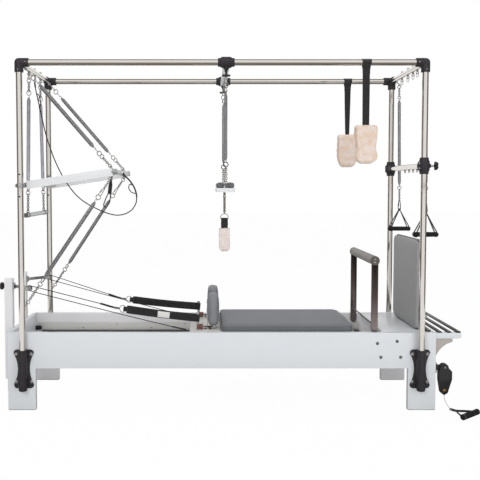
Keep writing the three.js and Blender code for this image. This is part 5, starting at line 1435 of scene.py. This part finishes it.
# Springs: each is one hard-drawn wire, wound close, that tapers at both ends into a hook.
# Short chains, rings and snap hooks join the hooks to the eyes.
spring_steel = plain("spring_steel", "spring_steel", {"Metallic": 0.95}, (172, 173, 177), (208, 209, 212),
    60.0, rough=(200.0, 0.15, 0.24), grain=(1200.0, 2.0, 0.0001, 0.2))

chain_steel = plain("chain_steel", "spring_steel", {"Metallic": 0.95}, (136, 134, 133), (192, 190, 187), 70.0,
    rough=(150.0, 0.2, 0.26), grain=(900.0, 2.0, 0.0001, 0.2))


def spring_wire(start, end, outer, wire=1.9, hook=6.5, taper=26.0, steps=10):
    """A hook at start, the close coil and a hook at end, as one wire."""
    turn = facing(start, end)
    length = (end - start).length
    coil_from = hook * 2 + wire
    coil_to = length - coil_from
    coil_radius = outer - wire
    turns = round((coil_to - coil_from) / (wire * 2.12))
    local = []
    for step in range(-3, 10):
        swing = math.radians(step * 20)
        local.append(at(hook * math.sin(swing), 0, hook - hook * math.cos(swing)))
    for step in range(turns * steps + 1):
        along = step / (turns * steps)
        z = coil_from + (coil_to - coil_from) * along
        edge = min(z - coil_from, coil_to - z) / taper
        radius = coil_radius * (0.3 + 0.7 * math.sin(min(edge, 1.0) * math.pi / 2))
        swing = step / steps * math.tau
        local.append(at(radius * math.cos(swing), radius * math.sin(swing), z))
    for step in range(9, -4, -1):
        swing = math.radians(step * 20)
        local.append(at(hook * math.sin(swing), 0, length - hook + hook * math.cos(swing)))
    return bent([turn @ point for point in local], wire, roundness=1)


def places_along(start, end):
    """A function that gives the place at a distance from start, on the line to end."""
    return lambda distance: start + (end - start).normalized() * distance


def hung_ring(along, distance, radius, wire=2.4):
    """A round ring that hangs in a line, a little turned from it."""
    return ring(along(distance + radius), radius, wire, at(0.25, 1.0, 0.15))


for label, side in sides:
    centre = at(push_tube_x, side * push_spring_y, push_tube_z)
    top = at(-half_length, side * push_spring_y, canopy_z)
    from_rail = places_along(top, centre)
    to_rail = places_along(centre, top)
    coil_top = from_rail(148)
    coil_foot = to_rail(46.3 + 152 - 15)
    piece(f"upper_coil_{label}", [spring_wire(coil_top, coil_foot, 13.2)], spring_steel,
        f"upper_spring_{label}", between=("frame", "push_through_bar", from_rail(36), to_rail(40)))
    links = [oval(from_rail(34), from_rail(68), 4.0, 2.0), oval(from_rail(63), from_rail(96), 4.0, 2.0,
        roll=math.pi / 2), hung_ring(from_rail, 91, 16, 2.6), oval(from_rail(119), from_rail(153), 4.0, 2.0),
        oval(to_rail(158), to_rail(188), 4.0, 2.0), hung_ring(to_rail, 134, 14, 2.6),
        hung_ring(to_rail, 110, 13, 2.6), *chain(to_rail(58), to_rail(114)), hung_ring(to_rail, 40, 10)]
    piece(f"upper_links_{label}", links, chain_steel, f"upper_spring_{label}",
        between=("frame", "push_through_bar", from_rail(36), to_rail(40)))
    foot = at(-half_length, side * half_depth, post_eye_z)
    from_post = places_along(foot, centre)
    to_post = places_along(centre, foot)
    coil_foot = from_post(60.3 + 190 - 15)
    coil_top = to_post(46.3 + 175 - 15)
    piece(f"lower_coil_{label}", [spring_wire(coil_foot, coil_top, 13.2)], spring_steel,
        f"lower_spring_{label}", between=("frame", "push_through_bar", from_post(54), to_post(40)))
    links = [hung_ring(from_post, 54, 12), *chain(from_post(76), from_post(186)),
        hung_ring(from_post, 183, 14, 2.8), *snap_hook(from_post(208), from_post(240)),
        hung_ring(to_post, 172, 15, 2.8), *snap_hook(to_post(116), to_post(176)),
        *chain(to_post(62), to_post(120)), hung_ring(to_post, 40, 12)]
    piece(f"lower_links_{label}", links, chain_steel, f"lower_spring_{label}",
        between=("frame", "push_through_bar", from_post(54), to_post(40)))

# Roll-down bar: a round aluminium bar with black end caps, on a short chain at each side.
# Its springs hang from the rings of the head cross rail, and a black snap hook joins each chain.
roll_bar_z = 1202.0
roll_spring_end = 1352.0
hook_black = plain("black_steel", "black_casting", {"Metallic": 0.5}, (30, 29, 31), (58, 55, 56), 60.0,
    rough=(160.0, 0.2, 0.35), grain=(900.0, 2.0, 0.0001, 0.2))

# The roll-down springs take a paler, bluish copy of the spring steel: painted highlight.
spring_painted_highlight = plain("spring_steel_painted_highlight", "spring_steel", {"Metallic": 0.8}, (188, 188, 200), (238, 238, 244),
    16.0, rough=(200.0, 0.15, 0.24), detail=1.0)

roll_links = []
roll_hooks = []
bar_collars = []
for label, side in sides:
    hang = at(-half_length, side * roll_eye_y, roll_pivot_z)
    foot = at(-half_length, side * 200, roll_bar_z)
    low = hang.lerp(foot, (roll_pivot_z - roll_spring_end) / (roll_pivot_z - roll_bar_z))
    span = (low - hang).length
    down = places_along(hang, foot)
    up = places_along(foot, hang)
    coil_top = down(6.3 + 118 - 15)
    coil_foot = down(span - 55 + 15)
    piece(f"roll_coil_{label}", [spring_wire(coil_top, coil_foot, 12.6, 1.8, 6.0)], spring_painted_highlight,
        f"roll_down_spring_{label}", "roll_down")
    roll_links += [hung_ring(down, 4, 13), *chain(down(28), down(86)), hung_ring(down, 80, 15),
        *chain(down(span + 20), up(20)), hung_ring(down, span - 4, 13)]
    roll_hooks += snap_hook(down(span + 2), coil_foot - (foot - hang).normalized() * 5)
    bar_collars.append(rod(16.4, at(-half_length, side * 200 - 8, roll_bar_z),
        at(-half_length, side * 200 + 8, roll_bar_z), 2, 32))
    bar_collars.append(ring(at(-half_length, side * 200, roll_bar_z + 21), 7, 2.2, at(0, 1, 0)))
    end_cap = at(-half_length, side * 243.6, roll_bar_z)
    bar_collars.append(turned([(0, 0), (0, 14), (1, 15), (6, 15), (8, 13), (8, 0)], end_cap,
        end_cap + at(0, side, 0), 32))
piece("roll_links", roll_links, chain_steel, "roll_down_spring_near roll_down_spring_far", "roll_down")
pieces("roll_down_bar", "roll_down", ("roll_hooks", roll_hooks, hook_black),
    ("roll_bar_tube", [cross_rod(14, -half_length, 246, roll_bar_z, 0, 36)], brushed),
    ("roll_bar_collars", bar_collars, bolt_grey))

# Sliding trapeze carriage: black clamps that run on the top rails, with a T-knob below each,
# and a white steel cross bar between them, drilled for eye bolts at several widths.
trapeze_x = 24.0


def split_clamp(centre, along, across, half_long, wide, narrow=25.5):
    """A cast barrel round a tube, swollen in its middle and split in two halves by a thin joint."""
    profile = [(-half_long, 19.4), (-half_long, narrow - 1.5), (-half_long + 1.5, narrow),
        (-half_long * 0.72, narrow + 0.6), (-half_long * 0.55, wide - 0.8), (-half_long * 0.5, wide),
        (half_long * 0.5, wide), (half_long * 0.55, wide - 0.8), (half_long * 0.72, narrow + 0.6),
        (half_long - 1.5, narrow), (half_long, narrow - 1.5), (half_long, 19.4), (-half_long, 19.4)]
    halves = []
    for hand in (-1, 1):
        half = turned(profile, centre, centre + along, 40)
        cut = bmesh.ops.bisect_plane(half, geom=[*half.verts, *half.edges, *half.faces],
            plane_co=centre + across * hand * 0.8, plane_no=across * -hand, clear_outer=True)
        rim = [item for item in cut["geom_cut"] if isinstance(item, bmesh.types.BMEdge)]
        bmesh.ops.holes_fill(half, edges=rim, sides=0)
        bmesh.ops.recalc_face_normals(half, faces=half.faces)
        halves.append(half)
    return halves


clamp_shapes = []
clamp_bolts = []
knob_shapes = []
for label, side in sides:
    y = side * half_depth
    clamp_shapes += split_clamp(at(trapeze_x, y, canopy_z), at(1, 0, 0), at(0, 0, 1), 50, 33)
    for shift in (-15, 15):
        clamp_bolts += bolt(at(trapeze_x + shift, y, canopy_z + 32.6), at(0, 0, 1), 4.0, 2.0)
        knob_shapes += bolt(at(trapeze_x + shift, y + side * 30.6, canopy_z - 12), at(0, side, -0.4), 3.6,
            2.0)
    neck = [(28, 0), (28, 15), (36, 16), (40, 15), (48, 9), (60, 7), (78, 6.6), (78, 0)]
    knob_shapes.append(turned(neck, at(trapeze_x, y, canopy_z), at(trapeze_x, y, canopy_z - 1), 24))
    knob_shapes.append(rod(6.8, at(trapeze_x - 24.8, y, 2047), at(trapeze_x + 24.8, y, 2047), 2.6, 20))
    clamp_bolts += eye_bolt(at(trapeze_x, side * 276, 2089), at(trapeze_x, side * 276, 2060),
        across=at(1, 0, 0))
pieces("trapeze_carriage", "trapeze_clamp", ("rail_clamps", clamp_shapes, casting),
    ("rail_clamp_knobs", knob_shapes, nylon), ("rail_clamp_bolts", clamp_bolts, bolt_steel),
    ("trapeze_cross_bar", [block(trapeze_x - 20, trapeze_x + 20, -333, 333, 2090, 2118, 3.0)], white_bar))
plate_holes = []
for place in range(-4, 5):
    y = place * 60
    for out, skin in ((at(0, 0, -1), 2090.4), (at(0, 0, 1), 2117.6)):
        plate_holes.append(turned([(0, 5), (0.8, 5), (0.9, 0)], at(trapeze_x, y, skin), at(trapeze_x, y, skin)
            + out, 16))
piece("cross_bar_holes", plate_holes, hole_black, "trapeze_carriage", "trapeze_clamp")

# Trapeze: two springs hold a white tray with two foam rolls in dark grey vinyl.
# Rings and doubled chains join each spring to the tray, and a shackle hangs from its middle.
trapeze_pivot = 2060.0
trapeze_spring_end = 1508.0
tray_top = 1372.0
tray_low = 1352.0

for label, side in sides:
    y = side * 276
    coil_top = at(trapeze_x, y, trapeze_pivot - 6.3 - 100 + 15)
    coil_foot = at(trapeze_x, y, trapeze_spring_end + 36 - 15)
    piece(f"trapeze_coil_{label}", [spring_wire(coil_top, coil_foot, 11.0, 1.7, 6.0)], spring_steel,
        f"trapeze_spring_{label}", "trapeze")
    top_links = [*snap_hook(at(trapeze_x, y, trapeze_pivot - 4), at(trapeze_x, y, trapeze_pivot - 46)),
        ring(at(trapeze_x, y, trapeze_pivot - 58), 15, 2.6, at(0.3, 1, 0)),
        *snap_hook(at(trapeze_x, y, trapeze_pivot - 70), at(trapeze_x, y, trapeze_pivot - 98))]
    pieces(f"trapeze_spring_{label}", "trapeze", (f"trapeze_links_{label}", top_links, chain_steel),
        (f"trapeze_ring_{label}", [ring(at(trapeze_x, y, coil_foot.z - 12), 15, 3.0, at(0.3, 1, 0))],
        hook_black))
    doubled = []
    for shift in (-5.5, 5.5):
        doubled += chain(at(trapeze_x + shift * 0.6, y, coil_foot.z - 24),
            at(trapeze_x + shift, y, tray_top + 14), 18, 1.8, 4.6)
        doubled += [ring(at(trapeze_x + shift, y, tray_top + 9), 7.0, 2.0, at(0, 1, 0))]
    doubled += [turned([(0, 13), (2, 13), (3, 11), (3, 0)], at(trapeze_x, y, tray_top - 0.3),
        at(trapeze_x, y, tray_top + 1), 20)]
    piece(f"tray_chains_{label}", doubled, chain_steel, "trapeze_bar", "trapeze")

tray_outline = rectangle(trapeze_x - 57, trapeze_x + 57, -300, 300, 8)
piece("trapeze_tray", [slab(tray_outline, "Z", tray_low - 5, tray_top, 2.0)], white_bar, "trapeze_bar",
    "trapeze")
roll_vinyl = vinyl("dark_grey_vinyl", "grey_vinyl", (88, 90, 92), (104, 105, 107))
for label, hand in (("head", -1), ("foot", 1)):
    middle = trapeze_x + hand * 31.5
    outline = rounded((middle - 22, tray_top - 0.6, 4), (middle + 22, tray_top - 0.6, 4),
        (middle + 23, tray_top + 33, 10), (middle - 23, tray_top + 33, 10))
    shape = slab(outline, "Y", -264, 264, 4.0, 3)
    roll = piece(f"trapeze_pad_{label}",
        [blown_up(shape, 3.0, lambda point: point.z < tray_top + 2, 5.0, rounds=0)], roll_vinyl,
        "trapeze_bar", "trapeze", sharp=60)

# Sling: a fleece loop on black webbing, hung from the tray by a shackle, a chain and a D-ring.
# The fleece is cream, rounded below and open along the bed.
sling_pivot = 1340.0
sling_ring_z = 1177.0


def fleece(name, warm, pale, deep):
    """Curled wool: patches of two tints, with the deep tint as painted shade between the tufts."""
    finish = Finish(name, "cream_fleece", {"Sheen Weight": 0.5, "Sheen Roughness": 0.4,
        "Specular IOR Level": 0.1})
    tufts = finish.cells(130.0)
    curls = finish.cloud(420.0, 5.0)
    patches = finish.ramp(finish.cloud(24.0, 3.0), (0.42, paint(*warm)), (0.58, paint(*pale)))
    # The deep tint at the cells' edges is painted shade in the hollows between the tufts.
    finish.feed("Base Color", finish.tint(tufts * 0.5 + curls * 0.5, patches, paint(*deep)))
    finish.feed("Roughness", curls * 0.1 + 0.88)
    finish.raise_by((1 - tufts) * 0.7 + curls * 0.6, 0.003, 0.9)
    return finish


# The last tint of each fleece is the painted shade between its tufts.
fleece_pile = fleece("cream_fleece", (233, 208, 188), (241, 231, 224), (212, 190, 175))
sling_pile = fleece("pale_fleece", (235, 222, 216), (240, 232, 229), (214, 201, 195))


def wrapped_pile(shape, centre_x, top, height, waist, flare, voxel=4.0, lift=2.4, seed=0.0):
    """A pile surface: the shape is waisted and rounded off, and its skin is lifted in small uneven tufts."""
    pile = cast([shape], voxel, 4)
    for vert in pile.verts:
        share = (top - vert.co.z) / height
        width = 1 - waist * math.exp(-((share - 0.58) / 0.2) ** 2) + flare * math.exp(
            -((share - 0.84) / 0.1) ** 2)
        past_end = max(share - 0.76, 0.08 - share, 0.0) / 0.27
        round_off = math.sqrt(max(1 - past_end ** 2, 0.16))
        vert.co.x = centre_x + (vert.co.x - centre_x) * width * round_off
    pile.normal_update()
    moves = []
    for vert in pile.verts:
        place = vert.co / 26 + Vector((seed, seed, seed))
        height = noise.noise(place) * 0.9 + noise.noise(vert.co / 9 + Vector((seed, 0, 0))) * 0.55
        moves.append(vert.normal * (height * lift))
    for vert, move in zip(pile.verts, moves):
        vert.co += move
    return pile


def fleece_loop(x, y, top, height, half_width, half_deep, wall):
    """A thick band folded into a long loop that is open along X."""
    outer = half_deep * 0.8
    inner = (half_deep - wall) * 0.8
    deep = half_deep - wall
    profile = rectangle(y - half_deep, y + half_deep, top - height, top, outer, steps=7)
    hollow = rectangle(y - deep, y + deep, top - height + wall, top - wall, inner, steps=7)
    shape = bmesh.new()
    rims = []
    for level in (x - half_width, x + half_width):
        for outline in (profile, hollow):
            verts = [shape.verts.new((level, u, v)) for u, v in outline]
            rims.append([shape.edges.new((a, b)) for a, b in zip(verts, verts[1:] + verts[:1])])
    bmesh.ops.bridge_loops(shape, edges=rims[0] + rims[1])
    bmesh.ops.bridge_loops(shape, edges=rims[2] + rims[3])
    bmesh.ops.bridge_loops(shape, edges=rims[0] + rims[2])
    bmesh.ops.bridge_loops(shape, edges=rims[1] + rims[3])
    bmesh.ops.recalc_face_normals(shape, faces=shape.faces)
    return shape


sling_fleece = wrapped_pile(fleece_loop(trapeze_x, 0, 1107, 154, 36, 27, 15), trapeze_x, 1107, 154, 0.0, 0.05,
    3.0, 1.8, 3.0)
sling_soft = piece("sling_fleece", [sling_fleece], sling_pile, "trapeze_sling", "sling", sharp=80)
swivel = [(0, 0), (0, 6), (1.5, 8), (12, 8), (14, 6), (17, 4.5), (17, 0)]
hang_chain = [turned(swivel, at(trapeze_x, 0, sling_pivot - 0.4), at(trapeze_x, 0, sling_pivot - 2), 24),
    ring(at(trapeze_x, 0, sling_pivot - 23), 7.5, 2.4, at(0.2, 1, 0)),
    *chain(at(trapeze_x, 0, sling_pivot - 28), at(trapeze_x, 0, 1206), 17, 2.6, 6.4)]
brassy = plain("dull_chain", "spring_steel", {"Metallic": 0.85}, (116, 104, 94), (160, 146, 132), 90.0,
    rough=(200.0, 0.2, 0.3), grain=(900.0, 2.0, 0.0001, 0.2))
piece("sling_chain", hang_chain, brassy, "trapeze_sling", "sling")
d_ring = [at(trapeze_x + u, 0, sling_ring_z + v) for u, v in arc(0, 0, 25.5, -20, 200, 14)]
piece("sling_ring", [bent(d_ring, 2.9, closed=True)], bolt_steel, "trapeze_sling", "sling")
fold = [at(trapeze_x, y, z) for y, z in ((2.2, 1104), (2.2, 1151), (3.6, 1163), (3.4, 1170), (0, 1174.5),
    (-3.4, 1170), (-3.6, 1163), (-2.2, 1151), (-2.2, 1104))]
piece("sling_webbing", [band(fold, at(22.5, 0, 0), 2.0), block(trapeze_x - 23.5, trapeze_x + 23.5, -4.2, 4.2,
    1129, 1141, 1.5)], webbing, "trapeze_sling", "sling")
shackle = turned([(0, 0), (0, 9), (3, 11), (9, 11), (12, 6), (12.4, 0)], at(trapeze_x, 0, tray_low + 1),
    at(trapeze_x, 0, tray_low), 24)
piece("tray_shackle", [shackle], bolt_steel, "trapeze_bar", "trapeze")

# Hanging straps: black webbing looped over each top rail, and a fleece-lined loop below.
# The webbing is sewn to itself under the rail and above the fleece.
thread = plain("grey_thread", "black_webbing", {"Roughness": 0.8}, (70, 68, 70), (98, 96, 97), 400.0)


def stitches(start, end, out, count, wire=0.6):
    """A row of short stitches that stand a little proud of the cloth."""
    step = (end - start) / count
    return [rod(wire, start + step * (place + 0.15) + out, start + step * (place + 0.8) + out, 0, 6)
        for place in range(count)]


for label, side, x, waist, flare in (("near", -1, 865.0, 0.14, 0.06), ("far", 1, 907.0, -0.06, -0.1)):
    y = side * half_depth
    loop_radius = 21.6
    wrap = [at(x, y + loop_radius * math.cos(turn), canopy_z + loop_radius * math.sin(turn))
        for turn in (math.radians(step) for step in range(-62, 243, 16))]
    neck = at(x, y, canopy_z - 46)
    spread = [0.78,
        *[0.86 + 0.14 * math.sin(math.pi * place / (len(wrap) - 1)) for place in range(len(wrap))], 0.78]
    shapes = [band([neck + at(0, 2.0, 0), *wrap, neck - at(0, 2.0, 0)], at(29, 0, 0), 2.4, shares=spread)]
    lead = [neck + at(0, 1.6, 3), at(x, y + 1.6, canopy_z - 120), at(x, y + 1.5, canopy_z - 260),
        at(x, y + 1.5, canopy_z - 374)]
    back_lead = [point - at(0, 3.2, 0) for point in lead]
    tail_shares = [1.0, 1.0, 0.97, 0.94] if side < 0 else [1.0, 0.96, 0.8, 0.66]
    shapes += [band(lead, at(21.5, 0, 0), 2.2, shares=tail_shares),
        band(back_lead, at(21.5, 0, 0), 2.2, shares=tail_shares)]
    shapes += [block(x - 22.6, x + 22.6, y - 4.5, y + 4.5, canopy_z - 66, canopy_z - 42, 1.6)]
    piece(f"hanging_webbing_{label}", shapes, webbing, f"fleece_strap_{label}", f"fleece_{label}")
    sewn = []
    for z in (canopy_z - 46, canopy_z - 62):
        for hand in (-1, 1):
            sewn += stitches(at(x - 22, y, z), at(x + 22, y, z), at(0, hand * 4.6, 0), 11)
    piece(f"hanging_stitches_{label}", sewn, thread, f"fleece_strap_{label}", f"fleece_{label}")
    pile = wrapped_pile(fleece_loop(x, y, canopy_z - 374, 232, 64, 40, 21), x, canopy_z - 374, 232, waist,
        flare, 4.0, 3.0, 7.0 + x / 100)
    soft = piece(f"hanging_fleece_{label}", [pile], fleece_pile, f"fleece_strap_{label}", f"fleece_{label}",
        sharp=80)

# Sliding cross bar: a stainless tube between the foot posts, with a black split clamp round each.
# The near clamp is tightened by a star knob on a short screw.
mid_z = 1506.0
clamp_shapes = []
clamp_bolts = []
for label, side in sides:
    y = side * half_depth
    clamp_shapes += split_clamp(at(half_length, y, mid_z), at(0, 0, 1), at(0, side, 0), 49.8, 32, 26.5)
    hub = at(half_length, y - side * 20, mid_z)
    clamp_shapes.append(turned([(0, 0), (0, 31), (12, 30), (34, 24), (46, 23), (46, 0)], hub,
        hub - at(0, side, 0), 36))
    ear_low, ear_high = sorted((y + side * 3, y + side * 12))
    clamp_shapes.append(block(half_length - 37, half_length - 22, ear_low, ear_high, mid_z - 24, mid_z + 24,
        3.0))
    clamp_shapes.append(block(half_length - 37, half_length - 22, *sorted((y - side * 3, y - side * 12)),
        mid_z - 24, mid_z + 24, 3.0))
    for z in (-15, 15):
        clamp_bolts += bolt(at(half_length - 30, y + side * 11.8, mid_z + z), at(0, side, 0), 4.4, 3.0)
clamp_shapes.append(turned([(26, 0), (26, 17), (34, 15), (37, 13), (37, 0)],
    at(half_length, -half_depth, mid_z), at(half_length + 1, -half_depth, mid_z), 28))
piece("mid_clamps", clamp_shapes, casting, "mid_bar", "sliding_bar")
clamp_bolts.append(rod(7.6, at(half_length + 36, -half_depth, mid_z),
    at(half_length + 52, -half_depth, mid_z), 0.6, 20))
for y in (20, -66, -148, -228):
    clamp_bolts += eye_bolt(at(half_length, y, mid_z - 18.5), at(half_length, y, mid_z - 30), 2.4, 5.5,
        at(0, 1, 0))
pieces("mid_bar", "sliding_bar", ("mid_bolts", clamp_bolts, bolt_steel),
    ("mid_tube", [cross_rod(tube_radius, half_length, 330, mid_z, 0, 48)], polished))
star_root = at(half_length + 52.3, -half_depth, mid_z)
star = [turned([(0, 13), (11, 13), (13, 18), (27.8, 17), (27.8, 0)], star_root, star_root + at(1, 0, 0), 28)]
for lobe in range(5):
    turn = math.tau * lobe / 5
    lobe_place = star_root + at(0, 17.6 * math.cos(turn), 17.6 * math.sin(turn))
    star.append(rod(9.2, lobe_place + at(11.6, 0, 0), lobe_place + at(27.6, 0, 0), 2.0, 20))
piece("star_clamp_knob", [cast(star, 1.4, 3)], nylon, "star_knob", "sliding_bar_knob", sharp=60)

# Hand springs: lighter springs at the foot end, each with a black snap hook,
# a webbing triangle and a foam grip on a short tube.
hand_grip_x = 1262.0
hand_grip_z = 1085.0
apex_drop = 138.0
for label, side in sides:
    y = side * hand_y
    hang = at(hand_eye_x, y, hand_eye_z)
    apex = at(hand_grip_x, y, hand_grip_z + apex_drop)
    span = (apex - hang).length
    down = places_along(hang, apex)
    coil_top = down(6.3 + 100 - 15)
    coil_foot = down(span - 169 + 15)
    body = f"hand_{label}"
    piece(f"hand_coil_{label}", [spring_wire(coil_top, coil_foot, 11.6, 1.7, 6.0)], spring_steel,
        f"hand_spring_{label}", body)
    hand_links = [hung_ring(down, 3, 11, 2.2), *chain(down(23), down(80), 18, 2.1, 5.6),
        hung_ring(down, 77, 10, 2.2), hung_ring(down, span - 160, 12, 2.4),
        *chain(down(span - 138), down(span - 58), 18, 2.1, 5.6)]
    piece(f"hand_links_{label}", hand_links, chain_steel, f"hand_spring_{label}", body)
    hook_top = down(span - 61)
    piece(f"hand_snap_{label}", snap_hook(hook_top, apex - at(0, 0, 2), 3.0, 9.0), hook_black,
        f"hand_spring_{label}", body)
    low_z = hand_grip_z
    peak = at(hand_grip_x, y, hand_grip_z + apex_drop - 4)
    legs = []
    for hand in (-1, 1):
        corner = at(hand_grip_x + hand * 62, y, low_z)
        over = [corner + at(hand * 16.2 * math.cos(turn), 0, 16.2 * math.sin(turn))
            for turn in (math.radians(step) for step in range(60, -241, -30))]
        legs.append(band([peak + at(hand * 3, 0, 0), *over, peak + at(hand * 6, 0, -8)], at(0, 10.5, 0), 1.8))
    legs.append(ring(peak, 7, 2.4, at(0, 1, 0)))
    piece(f"hand_webbing_{label}", legs, webbing, f"hand_grip_{label}", body)
    tube_start = at(hand_grip_x - 73.5, y, low_z)
    profile = [(0, 0), (0, 11.5), (2, 14), (6, 14.8), (40, 15), (73.5, 15.3), (107, 15), (141, 14.8),
        (145, 14), (147, 11.5), (147, 0)]
    hand_foam = turned(profile, tube_start, tube_start + at(1, 0, 0), 32)
    grip_black = piece(f"hand_foam_{label}", [hand_foam], rubber, f"hand_grip_{label}", body)

# Retractable cord's housing: a flat drop-shaped case in black nylon, moulded in two halves.
# It swings on the hanger's pin, with a brass screw at its belly and a nozzle for the wire.
case_outline = [*arc(housing_x - 4, housing_pivot - 3, 28, 180, 0, 10),
    *swept((housing_x + 45, housing_pivot - 25), (housing_x + 45, housing_pivot - 40),
    (housing_x + 45, housing_pivot - 74), 4), *arc(housing_x - 2, housing_pivot - 142, 26, 0, -180, 10),
    *swept((housing_x - 39, housing_pivot - 74), (housing_x - 39, housing_pivot - 40),
    (housing_x - 39, housing_pivot - 25), 4)]
case_shapes = [slab(case_outline, "Y", housing_y + 0.5, housing_y + 17.8, 5.0, 4, 0.8),
    slab(case_outline, "Y", housing_y - 17.8, housing_y - 0.5, 5.0, 4, 0.8)]
belly = at(housing_x + 3, housing_y - 17, housing_pivot - 80)
case_shapes.append(turned([(-1, 32), (0.4, 32), (0.9, 30), (0.9, 0)], belly, belly - at(0, 1, 0), 40))
case_shapes.append(turned([(0, 7), (6, 6.6), (16, 5), (19, 4.2), (19.8, 0)],
    at(housing_x + 2, housing_y, 108), at(housing_x + 2, housing_y, 107), 24))
piece("housing_case", case_shapes, nylon, "cord_housing", "housing")
brass = plain("brass_screw", "clamp_aluminium", {"Metallic": 0.95}, (150, 118, 66), (186, 156, 98), 200.0,
    rough=(300.0, 0.2, 0.25))
brass_shapes = bolt(at(housing_x - 2, housing_y - 17.4, 122), at(0, -1, 0), 7.6, 3.0)
piece("housing_screw", brass_shapes, brass, "cord_housing", "housing")

# Floor handle: a foam grip on a webbing V that lies on the floor, tied to the wire's stop ball.
floor_stop = at(1412, -344, 9)
floor_neck = at(1432, -366, 9)
grip_near = at(1418, -512, 18)
grip_far = at(1552, -408, 18)
grip_run = (grip_far - grip_near).normalized()
stop_grey = plain("stop_ball", "black_webbing", {"Roughness": 0.5}, (108, 106, 106), (138, 136, 134), 60.0)
piece("floor_stop_ball", [ball(9, floor_stop, 20)], stop_grey, "floor_handle")
floor_shapes = []
for tip, hand in ((grip_near + grip_run * 9, -1), (grip_far - grip_run * 9, 1)):
    line = [floor_stop + at(4, -4, 0), floor_neck, floor_neck.lerp(tip, 0.35) + at(hand * 2, 0, 0),
        floor_neck.lerp(tip, 0.8), tip + at(0, 0, -3)]
    smooth = smooth_route(line, 5)
    floor_shapes.append(band(smooth, at(hand * 3, hand * -3, 7.4), 2.8))
    collar_start = tip - grip_run * 6
    floor_shapes.append(rod(17.8, collar_start, collar_start + grip_run * 12, 1.5, 28))
piece("floor_webbing", floor_shapes, webbing, "floor_handle")
run_length = (grip_far - grip_near).length
profile = [(0, 0), (0, 14), (3, 16.8), (10, 17.3), (run_length / 2, 17.5), (run_length - 10, 17.3),
    (run_length - 3, 16.8), (run_length, 14), (run_length, 0)]
floor_foam = piece("floor_grip", [turned(profile, grip_near, grip_far, 32)], rubber, "floor_handle")

# Foot straps: long padded webbing loops, hooked over the carriage's pegs.
# A D-ring, a snap hook and a sewn tongue join each to its rope; the near one has a blank label.
label_cloth = plain("white_label", "black_webbing", {"Roughness": 0.8}, (216, 214, 210), (232, 230, 227),
    500.0)
label_cloth.raise_by(label_cloth.cells(1800.0), 0.0002, 0.4)

for label, side in sides:
    start = at(-606, side * 175, 599)
    end = at(peg_x, side * peg_y, 549)
    run = (end - start).normalized()
    sideways = run.cross(at(0, 0, 1)).normalized()
    upward = sideways.cross(run).normalized()
    length = (end - start).length + 8 + 3.4 + 3
    loop = []
    for u, v in [*arc(length - 17, 0, 15.5, -90, 90, 8), *arc(17, 0, 15.5, 90, 270, 8)]:
        slack = math.sin(math.pi * min(max(u / length, 0), 1)) * 7
        pinch = 1 - 0.35 * math.sin(math.pi * min(max(u / length, 0), 1))
        loop.append((u, v * pinch, -slack * 0.6))
    dense = []
    for first, second in zip(loop, loop[1:] + loop[:1]):
        parts = max(1, round(abs(second[0] - first[0]) / 26))
        for part in range(parts):
            share = part / parts
            u = first[0] + (second[0] - first[0]) * share
            v = first[1] + (second[1] - first[1]) * share
            bow = math.sin(math.pi * min(max(u / length, 0), 1))
            dense.append(start + run * u + sideways * v * (1 - 0.3 * bow * (parts > 1)) - upward * 4 * bow)
    flattening = ("carriage_slide", rope_turn_x, squeeze(-150.0, -150.0))
    strap_pad = band(dense, upward * 23.5, 4.6, closed=True)
    soften(strap_pad, 1.6, 2, 0.9)
    label_run = 242.0
    skin = max((vert.co - start).dot(sideways) for vert in strap_pad.verts
        if abs((vert.co - start).dot(run) - label_run) < 30)
    sewn = []
    for hand in (-1, 1):
        for edge in (-20, 20):
            row = start + upward * (edge - 4) + sideways * hand * (skin + 0.2)
            sewn += stitches(row + run * 150, row + run * (length - 150), at(0, 0, 0), 26, 0.7)
    padded_strap = piece(f"strap_loop_{label}", [strap_pad], webbing, f"foot_strap_{label}",
        flattens=flattening)
    tongue = block(-16, 16, -3, 3, -16, 16, 1.5)
    turn = Matrix.Translation(start - run * 4) @ Matrix((run, sideways, upward)).transposed().to_4x4()
    bmesh.ops.transform(tongue, matrix=turn, verts=tongue.verts)
    piece(f"strap_tongue_{label}", [tongue], webbing, f"foot_strap_{label}", flattens=flattening)
    piece(f"strap_stitches_{label}", sewn, thread, f"foot_strap_{label}", flattens=flattening)
    ring_back = start - run * 22
    d_shape = [ring_back + run * v + upward * u for u, v in [*arc(0, 0, 22, 180, 360, 12), (22, 8), (-22, 8)]]
    metal = [bent(d_shape, 2.4, closed=True, roundness=1), *snap_hook(start - run * 42, start - run * 76, 2.4,
        6.0)]
    piece(f"strap_ring_{label}", metal, bolt_steel, f"foot_strap_{label}", flattens=flattening)
    if side < 0:
        patch = block(-38, 38, -0.7, 0.7, -19, 19, 0.5)
        turn = Matrix.Translation(start + run * label_run + sideways * (skin + 0.8) - upward
            * 4) @ Matrix((run, sideways, upward)).transposed().to_4x4()
        bmesh.ops.transform(patch, matrix=turn, verts=patch.verts)
        piece("strap_label", [patch], label_cloth, f"foot_strap_{label}", flattens=flattening)

# Rope ends: black whippings where each rope is spliced back on itself at its eye and its snap hook.
for label, side in sides:
    near_end = [Vector((x, -side * y, z)) for x, y, z in smooth_route(rope_route)]
    line = even_route(near_end, 7.0)
    first = bent(line[0:14], 4.6)
    piece(f"rope_splice_{label}", [first], webbing, "",
        flattens=("carriage_slide", rope_turn_x, squeeze(line[0].x, line[0].x)))
    last = bent(line[-19:-5], 6.2)
    piece(f"rope_whipping_{label}", [last], webbing, "",
        flattens=("carriage_slide", rope_turn_x, squeeze(-150.0, -150.0)))
